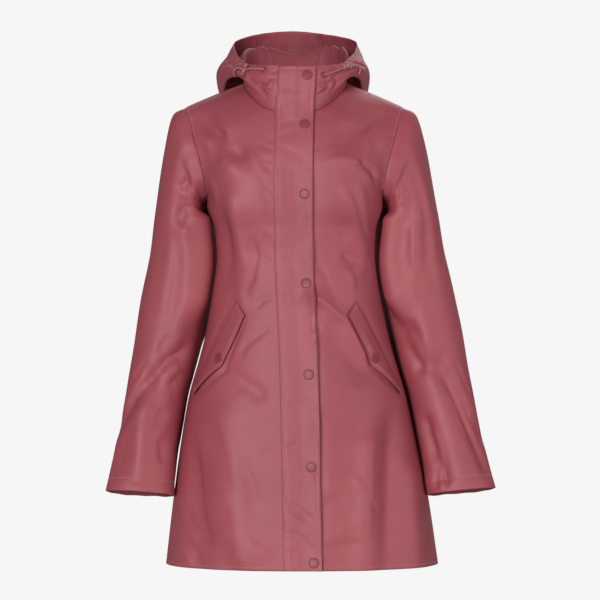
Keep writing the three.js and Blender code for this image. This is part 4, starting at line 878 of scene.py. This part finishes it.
STITCHES = {}  # lines of thread, by the group of pieces that they are on


def sewn(points, group, seams=(), rows=()):
    """Sinks the cloth at its seams, puckers it beside the rows of stitches, and keeps where the thread goes.

    A seam is (edge, depth, first line, end line). A row of stitches is (edge, millimetres from it, pucker, first
    line, end line). Lines are rows of the grid for an upright edge, and columns for a level one.
    """
    normal = grid_normals(points)
    height = np.zeros(points.shape[:2])

    def part(edge, first, end):
        chosen = np.zeros(points.shape[:2])
        if edge in ("left", "right"):
            chosen[first:end] = 1
        else:
            chosen[:, first:end] = 1
        return chosen

    along = points[..., 0] + 0.7 * points[..., 1], points[..., 2]
    for edge, depth, first, end in seams:
        away = edge_distance(points, edge)
        pull = 1 + 0.35 * smooth_noise(*along, 13, 31)
        height -= depth * part(edge, first, end) * np.exp(-((away / 2.4) ** 2))
        height -= 0.3 * pull * part(edge, first, end) * np.exp(-((away / 7) ** 2))
    for edge, off, pucker, first, end in rows:
        away = edge_distance(points, edge)
        wave = smooth_noise(*along, 15, 41) + 0.5 * smooth_noise(*along, 7, 61)
        height -= 0.4 * part(edge, first, end) * np.exp(-(((away - off) / 1.5) ** 2))
        height += pucker * wave * part(edge, first, end) * np.exp(-(((away - off) / 6.5) ** 2))
    moved = points + normal * height[..., None]
    for edge, off, _, first, end in rows:
        away = edge_distance(moved, edge)
        upright = edge in ("left", "right")
        path = []
        for n in range(*slice(first, end).indices(moved.shape[0 if upright else 1])):
            pick = (n, slice(None)) if upright else (slice(None), n)
            far, line = away[pick], (moved + normal * THREAD_PROUD)[pick]
            order = np.argsort(far)
            if far.max() > off:
                path.append(place_on(line[order], far[order], off))
        if len(path) > 2:
            STITCHES.setdefault(group, []).append(np.array(path))
    return moved


def strand(name, lines, radius, roundness, made):
    """Round strands along lines of points: a cord, or the stitches of a thread."""
    data = bpy.data.curves.new(name, "CURVE")
    data.dimensions = "3D"
    data.bevel_depth = radius * MM
    data.bevel_resolution = roundness
    data.use_fill_caps = True
    for line in lines:
        spline = data.splines.new("POLY")
        spline.points.add(len(line) - 1)
        for point, place in zip(spline.points, line):
            point.co = (*(place * MM), 1)
    piece = bpy.data.objects.new(name, data)
    bpy.context.collection.objects.link(piece)
    data.materials.append(made)
    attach(piece, "root")
    return piece


def stitch_rows(group, made):
    """The thread of a group of pieces: short stitches with gaps between them."""
    stitches = []
    for path in STITCHES[group]:
        way = way_along(path)
        for start in np.arange(1.0, way[-1] - STITCH_PITCH, STITCH_PITCH):
            stitches.append([place_on(path, way, start + off) for off in (0, STITCH_LENGTH / 2, STITCH_LENGTH)])
    strand(f"stitches_{group}", stitches, THREAD_RADIUS, 0, made)


def linear(text):
    """A colour from sRGB hex."""
    parts = [int(text[k : k + 2], 16) / 255 for k in (1, 3, 5)]
    return [c / 12.92 if c <= 0.04045 else ((c + 0.055) / 1.055) ** 2.4 for c in parts] + [1.0]


def material(name, **settings):
    """A material with these values on its shader."""
    made = bpy.data.materials.new(name)
    made.use_nodes = True
    shader = made.node_tree.nodes["Principled BSDF"]
    for socket, value in settings.items():
        shader.inputs[socket.replace("_", " ")].default_value = value
    return made


def node(made, kind, links=(), **settings):
    """Adds a node to a material or world, with its settings, and links given as (from socket, own input)."""
    added = made.node_tree.nodes.new(kind)
    for name, value in settings.items():
        if name.startswith("in_"):
            added.inputs[name[3:].replace("_", " ")].default_value = value
        else:
            setattr(added, name, value)
    for source, own in links:
        made.node_tree.links.new(source, added.inputs[own])
    return added


def mottled(made, light, dark, size, bump_size, bump, strength):
    """Slightly uneven colour, and a fine relief, on Object coordinates."""
    tree = made.node_tree
    shader = tree.nodes["Principled BSDF"]
    place = node(made, "ShaderNodeTexCoord").outputs["Object"]
    cloud = node(made, "ShaderNodeTexNoise", [(place, "Vector")], in_Scale=1 / size, in_Detail=3.0)
    ramp = node(made, "ShaderNodeValToRGB", [(cloud.outputs["Fac"], "Fac")])
    ramp.color_ramp.elements[0].position = 0.3
    ramp.color_ramp.elements[0].color = linear(dark)
    ramp.color_ramp.elements[1].position = 0.7
    ramp.color_ramp.elements[1].color = linear(light)
    tree.links.new(ramp.outputs["Color"], shader.inputs["Base Color"])
    grain = node(made, "ShaderNodeTexNoise", [(place, "Vector")], in_Scale=1 / bump_size, in_Detail=4.0)
    relief = node(
        made, "ShaderNodeBump", [(grain.outputs["Fac"], "Height")], in_Distance=bump, in_Strength=strength
    )
    tree.links.new(relief.outputs["Normal"], shader.inputs["Normal"])
    return made


# Polyurethane coating on a knit, calendered smooth: a satin gloss that spreads wide over soft folds
coating = mottled(
    material("satin_pu_coating", Roughness=0.56, IOR=1.5),
    "#a74e57", "#9d4650", 0.09, 0.0016, 0.00012, 0.5,
)
# The knit backing of the cloth: the same dye, matt and a little darker
backing = mottled(material("knit_backing", Roughness=0.85), "#8b414b", "#7d3842", 0.004, 0.0012, 0.0002, 0.6)
# The hood is faced inside with the same coated cloth, a slightly duller satin, in darker colours than the coating:
# painted shade for the inside of the hood
shaded_facing = mottled(
    material("satin_pu_facing_shaded", Roughness=0.6, IOR=1.45), "#924049", "#883a43", 0.09, 0.0016, 0.00012, 0.5,
)
# Spun polyester sewing thread, a shade lighter than the coating that it lies in; the lighter colour is partly
# painted highlight, standing in for the sheen of the thread
thread = material("polyester_thread", Base_Color=linear("#c48790"), Roughness=0.6)
# Snap caps: brass, lacquered in the colour of the cloth, with a smooth stoved gloss
snap_lacquer = material(
    "snap_cap_lacquer", Base_Color=linear("#8a3c47"), Roughness=0.4, Specular_IOR_Level=0.25
)
# Braided polyester cord, whose crossing yarns scatter the light
braid = material("braided_cord", Base_Color=linear("#b06a73"), Roughness=0.7)
# Moulded acetal cord lock, semi-matt from the tool
acetal = material("moulded_acetal", Base_Color=linear("#a55c66"), Roughness=0.38)


def braided(made):
    """Yarns crossing at 1.1 mm, coarse enough to show, in Object coordinates."""
    tree = made.node_tree
    place = node(made, "ShaderNodeTexCoord").outputs["Object"]
    yarns = node(made, "ShaderNodeTexVoronoi", [(place, "Vector")], in_Scale=1 / 0.0011)
    relief = node(
        made, "ShaderNodeBump", [(yarns.outputs["Distance"], "Height")], in_Distance=0.0003, in_Strength=0.7
    )
    tree.links.new(relief.outputs["Normal"], tree.nodes["Principled BSDF"].inputs["Normal"])


braided(braid)


def cloth_piece(name, grids, cut, area, *replaced, inside=None):
    """A cut piece: a thin shell inside its grids of points, with its inner side in another material."""
    piece = sheet_mesh(name, grids)
    piece.data.materials.append(coating)
    piece.data.materials.append(inside or backing)
    shell = piece.modifiers.new("cloth", "SOLIDIFY")
    shell.thickness = SHELL * MM
    shell.offset = -1
    shell.material_offset = 1
    shell.material_offset_rim = 0
    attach(piece, "root")
    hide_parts(*replaced)


# Camera, where the photograph's was, with the millimetres that its picture is wide at the coat
SENSOR = 36
CAMERA_AWAY = 4500
PICTURE_WIDTH = 1020
camera_data = bpy.data.cameras.new("camera")
camera_data.sensor_width = SENSOR
camera_data.lens = SENSOR * CAMERA_AWAY / PICTURE_WIDTH
camera = bpy.data.objects.new("camera", camera_data)
camera.location = (0.0085, -CAMERA_AWAY * MM, -0.357)
camera.rotation_euler = (math.pi / 2, 0, 0)
bpy.context.collection.objects.link(camera)
bpy.context.scene.camera = camera


# Turned fittings
def turned(name, outline, centre, axis, made, slot_name, *replaced, segments=32):
    """Spins an outline of (radius, height) in millimetres, with its axis along a direction."""
    bm = bmesh.new()
    spots = [bm.verts.new((radius * MM, 0, height * MM)) for radius, height in outline]
    edges = [bm.edges.new(pair) for pair in zip(spots, spots[1:])]
    bmesh.ops.spin(
        bm, geom=spots + edges, axis=(0, 0, 1), cent=(0, 0, 0), angle=math.tau, steps=segments, use_merge=True
    )
    bmesh.ops.remove_doubles(bm, verts=bm.verts, dist=1e-6)
    bmesh.ops.recalc_face_normals(bm, faces=bm.faces)
    turn = Vector((0, 0, 1)).rotation_difference(Vector(axis)).to_matrix().to_4x4()
    bmesh.ops.transform(bm, matrix=Matrix.Translation(Vector(centre) * MM) @ turn, verts=bm.verts)
    piece = new_object(name, bm)
    piece.data.materials.append(made)
    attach(piece, "root")
    if replaced:
        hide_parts(*replaced)
    return piece


SNAP_OUTLINE = [
    (0, 0), (8.4, 0), (8.7, 0.45), (8.65, 1.1), (8.4, 1.6), (8.05, 1.78), (7.75, 1.66), (7.6, 1.5), (7.45, 1.5),
    (7.2, 1.6), (6.4, 1.72), (4.4, 1.86), (2.2, 1.94), (0, 1.97),
]
EYELET_OUTLINE = [
    (2.3, -0.6), (5.2, -0.6), (5.4, 0), (5.1, 0.6), (4.3, 1.1), (3.3, 1.2), (2.6, 0.8), (2.3, 0.2), (2.3, -0.6),
]
LOCK_OUTLINE = [
    (0, -10.5), (3, -10.5), (4, -9.9), (4.1, -8.4), (3.2, -7.6), (2.7, -6.8), (2.7, -3.6), (3.3, -2.9), (3.3, 2.9),
    (2.7, 3.6), (2.7, 6.8), (3.2, 7.6), (4.1, 8.4), (4, 9.9), (3, 10.5), (0, 10.5),
]


def frame_at(surface):
    """Foot and outward direction at the middle of surface(right, up)."""
    across = surface(1, 0) - surface(-1, 0)
    upward = surface(0, 1) - surface(0, -1)
    return surface(0, 0), unit(np.cross(across, upward))


# Outside of the placket, eased where it goes from the chest on to the collar
heights = np.linspace(HEM_Z + 0.5, COLLAR_TOP_Z - 0.3, 430)[:, None]
acrosses = np.concatenate([np.linspace(-1, -0.8, 7), np.linspace(-0.8, 0.8, 22)[1:-1], np.linspace(0.8, 1, 7)])
placket_points = front_outside(placket_at(heights)["x"] + acrosses * PLACKET_WIDTH / 2, heights)
placket_points = eased(placket_points, 10, hump(heights, -64, -20, 26) * np.ones_like(acrosses), 1)
placket_points[..., 1] -= placket_lift(heights, acrosses[None, :])


def on_placket(z, off):
    """A place on the placket at a height, off its middle."""
    row = [np.interp(z, heights[:, 0], placket_points[:, k, 1]) for k in range(len(acrosses))]
    return np.array([float(placket_at(z)["x"]) + off, np.interp(off * 2 / PLACKET_WIDTH, acrosses, row), z])


for k in range(len(SNAPS["x"])):
    def near(right, up, k=k):
        reach = SNAP_RADIUS * 0.8
        return on_placket(SNAPS["z"][k] + up * reach, SNAPS["x"][k] + right * reach)

    foot, axis = frame_at(near)
    turned(
        f"snap_cap_{k + 1}", SNAP_OUTLINE, foot - axis * SNAP_SUNK, axis, snap_lacquer, "snap", f"snap_{k + 1}",
    )

for name, side in (("right", -1), ("left", 1)):
    def near(right, up, side=side):
        along, across = FLAP_SNAP
        return flap(np.array(along - up * 0.05), np.array(across - side * right * 0.1), side, np.array(FLAP_LIFT))

    foot, axis = frame_at(near)
    turned(
        f"pocket_snap_cap_{name}", SNAP_OUTLINE, foot - axis * POCKET_SNAP_SUNK, axis, snap_lacquer, "snap",
        f"pocket_snap_{name}",
    )


# Drawcords: each leaves its eyelet, goes through its lock and ends free below it
def spline_through(points, count):
    """A smooth line through points, as evenly spaced places."""
    points = np.array(points, float)
    way = way_along(points)
    dense = np.stack([curve(way, points[:, k], np.linspace(0, way[-1], 400), strict=False) for k in range(3)], -1)
    arc = way_along(dense)
    return place_on(dense, arc, np.linspace(0, arc[-1], count)).T, arc[-1]


for side, cord in DRAWCORDS.items():
    foot, above = hood(*cord["route"][0][:2], 0.0), hood(*cord["route"][0][:2], 1.0)
    turned(
        f"eyelet_ring_{side}", EYELET_OUTLINE, foot + (above - foot) * 0.6, above - foot, snap_lacquer, "snap",
        f"eyelet_{side}", segments=24,
    )
    low, high = (hood(*place) for place in cord["lock"])
    middle, lengthwise = (low + high) / 2, unit(high - low)
    lock = turned(
        f"cord_lock_barrel_{side}", LOCK_OUTLINE, middle, lengthwise, acetal, "toggle", f"cord_lock_{side}",
        segments=24,
    )
    route = [hood(*place) for place in cord["route"]]
    tail = [hood(*place) for place in cord["tail"]]
    path, length = spline_through([*route, middle, *tail], 40)
    piece = strand(f"hood_drawcord_{side}", [path], CORD_RADIUS, 3, braid)
    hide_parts(f"drawcord_{side}", f"drawcord_end_{side}")

# Body
SKIRT_ROWS, CHEST_ROWS, NECK_ROWS = 170, 44, 44
NECK_START = SKIRT_ROWS + CHEST_ROWS - 1  # first row whose centre edge is on the neckline


def rises(neck):
    below, chest = np.linspace(0, UNDERARM, SKIRT_ROWS), np.linspace(UNDERARM, neck, CHEST_ROWS)[1:]
    return np.concatenate([below, chest, np.linspace(neck, 1, NECK_ROWS)[1:]])[:, None]


front_rises, back_rises = rises(NECK_FRONT), rises(NECK_BACK)
shares = np.linspace(0, 1, 74)[None, :]


def panel_seams(points, outer_first):
    """Seams of a front or half back: its side and armhole, its shoulder, and its neckline."""
    outer, centre = ("left", "right") if outer_first else ("right", "left")
    return sewn(
        points[:, ::-1] if outer_first else points, "body",
        seams=[(outer, 0.8, 0, None), ("top", 0.8, 0, None), (centre, 0.8, NECK_START, None)],
        rows=[("bottom", 6.0, 0.22, 0, None), ("top", 4.5, 0.2, 0, None), (outer, 4.5, 0.25, SKIRT_ROWS, None)],
    )


ARMHOLES = {}  # edge of the sewn fronts and backs at each sleeve, going up
NECKLINES = {}  # their edge at the hood, going up
SHOULDERS = {}  # edge of the sewn fronts at the shoulder


def keep_edges(points, outer_first, key, half):
    outer, centre = (0, -1) if outer_first else (-1, 0)
    ARMHOLES[key, half] = points[SKIRT_ROWS - 1 :, outer]
    NECKLINES[key, half] = points[NECK_START:, centre]


for side, key, cut_width, area in ((-1.0, "right", 0.29, 0.195), (1.0, "left", 0.28, 0.184)):
    points = body_round(front_rises, shares * seam_at(front_rises)[key], side)
    # the chest bends evenly beside the foot of the neckline
    points = eased(points, 7, hump(front_rises, 0.875, 0.955, 0.025) * np.clip((shares - 0.02) / 0.16, 0, 1))
    points = panel_seams(points, side < 0)
    keep_edges(points, side < 0, key, "front")
    SHOULDERS[key] = points[-1]
    cloth_piece(f"front_{key}_cloth", [points], (cut_width, 0.83), area, f"front_{key}")

halves = []
for side, key in ((1.0, "left"), (-1.0, "right")):
    lower = body_round(back_rises, 2 - shares * (2 - seam_at(back_rises)[key]), side)
    upper = body(True, back_rises, shares, side)
    points = np.where((back_rises > UNDERARM)[..., None], upper, lower)
    points = panel_seams(points, side > 0)
    points[-1] = SHOULDERS[key][::-1]
    keep_edges(points, side > 0, key, "back")
    halves.append(points)
cloth_piece("back_cloth", halves, (0.53, 0.86), 0.398, "back")

# Sleeves, sewn up under the arm
turns = np.linspace(180, 540, 112)
alongs = np.concatenate([np.linspace(1, 0.12, 190), np.linspace(0.12, 0, 34)[1:]])[:, None]
for side, key in ((-1, "right"), (1, "left")):
    columns = (turns if side < 0 else turns[::-1])[None, :]
    points = sleeve(columns, alongs, side)
    # the back of the cuff hangs a little lower, in waves
    behind = np.clip(-np.sin(np.radians(columns)), 0, 1)
    low = np.clip((alongs - 0.95) / 0.05, 0, 1) ** 2
    points[..., 2] -= behind * low * (2.2 + 1.6 * smooth_noise(columns, 0 * columns, 34, 71))
    points = sewn(
        points, "sleeves",
        seams=[("top", 0.8, 0, None), ("left", 0.5, 0, None), ("right", 0.5, 0, None)],
        rows=[("bottom", 22.0, 0.3, 0, None)],
    )
    # the seam at the armhole lies just inside the edge of the body
    for n, turn in enumerate(columns[0] % 360):
        half = "back" if turn > 180 else "front"
        line = ARMHOLES[key, half]
        rise = (back_rises if half == "back" else front_rises)[SKIRT_ROWS - 1 :, 0]
        up = UNDERARM + (1 - UNDERARM) * abs(turn - 180) / 180
        seam = place_on(line, rise, up)
        points[-1, n] = seam - unit(points[-2, n] - seam) * SEAM_TUCK
    area = 0.196 if side < 0 else 0.199
    cloth_piece(f"sleeve_{key}_cloth", [points], (0.41, 0.69), area, f"sleeve_{key}")

# Hood
climbs = np.linspace(0, 1, 112)[:, None]
for name, first, last, count, cut, area in (
    ("hood_side_left", 0, HOOD_SEAM, 110, (0.3, 0.36), 0.052),
    ("hood_middle", HOOD_SEAM, 1 - HOOD_SEAM, 44, (0.18, 0.4), 0.062),
    ("hood_side_right", 1 - HOOD_SEAM, 1, 110, (0.3, 0.36), 0.053),
):
    points = hood(np.linspace(first, last, count)[None, :], climbs)
    sides = [(edge, 0.7, 0, None) for edge in ("left", "right")]
    points = sewn(points, "hood", seams=[("bottom", 0.8, 0, None), *sides], rows=[("top", 22.0, 0.2, 0, None)])
    for n, around in enumerate(np.linspace(first, last, count)):
        way = min(around, 1 - around)
        half = "front" if way <= HOOD_SHOULDER else "back"
        line = NECKLINES["left" if around <= 0.5 else "right", half]
        up = way / HOOD_SHOULDER if half == "front" else (0.5 - way) / (0.5 - HOOD_SHOULDER)
        seam = place_on(line, np.linspace(0, 1, len(line)), up)
        points[0, n] = seam - unit(points[1, n] - seam) * SEAM_TUCK
    # the hood's inner face takes the darker facing, which is painted shade
    cloth_piece(f"{name}_cloth", [points], cut, area, name, inside=shaded_facing)

# Placket
points = sewn(
    placket_points, "placket",
    seams=[("left", 0.3, 0, None)],
    rows=[("left", 8.0, 0.3, 0, None), ("right", 5.5, 0.25, 0, None), ("top", 5.0, 0.2, 5, -5)],
)
cloth_piece("placket_cloth", [points], (0.064, 0.87), 0.0555, "placket")

# Pocket flaps
for side, key in ((-1.0, "right"), (1.0, "left")):
    crosswise = np.linspace(0, 1, 26)[None, :]
    points = flap(np.linspace(1, 0, 60)[:, None], crosswise if side < 0 else crosswise[:, ::-1], side, FLAP_LIFT)
    free_edge = "right" if side < 0 else "left"
    points = sewn(
        points, "flaps",
        rows=[(free_edge, 5.0, 0.2, 2, -2), ("bottom", 5.0, 0.15, 2, -3), ("top", 5.0, 0.15, 2, -3)],
    )
    cloth_piece(f"pocket_flap_{key}_cloth", [points], (0.05, 0.165), 0.0057, f"pocket_flap_{key}")

for group in STITCHES:
    stitch_rows(group, thread)

# Studio: a pale floor under the coat, which hangs by its shoulders, and soft light
FLOOR_Z = -1.4
bm = bmesh.new()
bmesh.ops.create_grid(bm, x_segments=2, y_segments=2, size=4.5)
bmesh.ops.translate(bm, verts=bm.verts, vec=(0, 0, FLOOR_Z))
floor = new_object("floor", bm, smooth=False)
floor.data.materials.append(material("pale_floor", Base_Color=linear("#ebebea"), Roughness=0.9))


def sun(name, towards, strength, angle):
    """A soft sun whose light comes from a direction."""
    data = bpy.data.lights.new(name, "SUN")
    data.energy = strength
    data.angle = math.radians(angle)
    lamp = bpy.data.objects.new(name, data)
    lamp.rotation_euler = Vector(towards).to_track_quat("Z", "Y").to_euler()
    bpy.context.collection.objects.link(lamp)


sun("key", (-0.36, -1, 0.13), 2.1, 18)
sun("edge", (0.85, -0.75, 0.05), 1.0, 40)
sun("behind", (0.3, 1, 0.75), 1.3, 50)

world = bpy.data.worlds.new("studio")
world.use_nodes = True
world.node_tree.nodes.clear()
backdrop = node(world, "ShaderNodeBackground", in_Color=linear("#f6f6f6"))
room = node(world, "ShaderNodeBackground", in_Color=linear("#f2f2f4"), in_Strength=0.16)
rays = node(world, "ShaderNodeLightPath")
pick = node(
    world, "ShaderNodeMixShader",
    [(rays.outputs["Is Camera Ray"], 0), (room.outputs["Background"], 1), (backdrop.outputs["Background"], 2)],
)
node(world, "ShaderNodeOutputWorld", [(pick.outputs["Shader"], "Surface")])
bpy.context.scene.world = world
bpy.context.scene.view_settings.view_transform = "Standard"
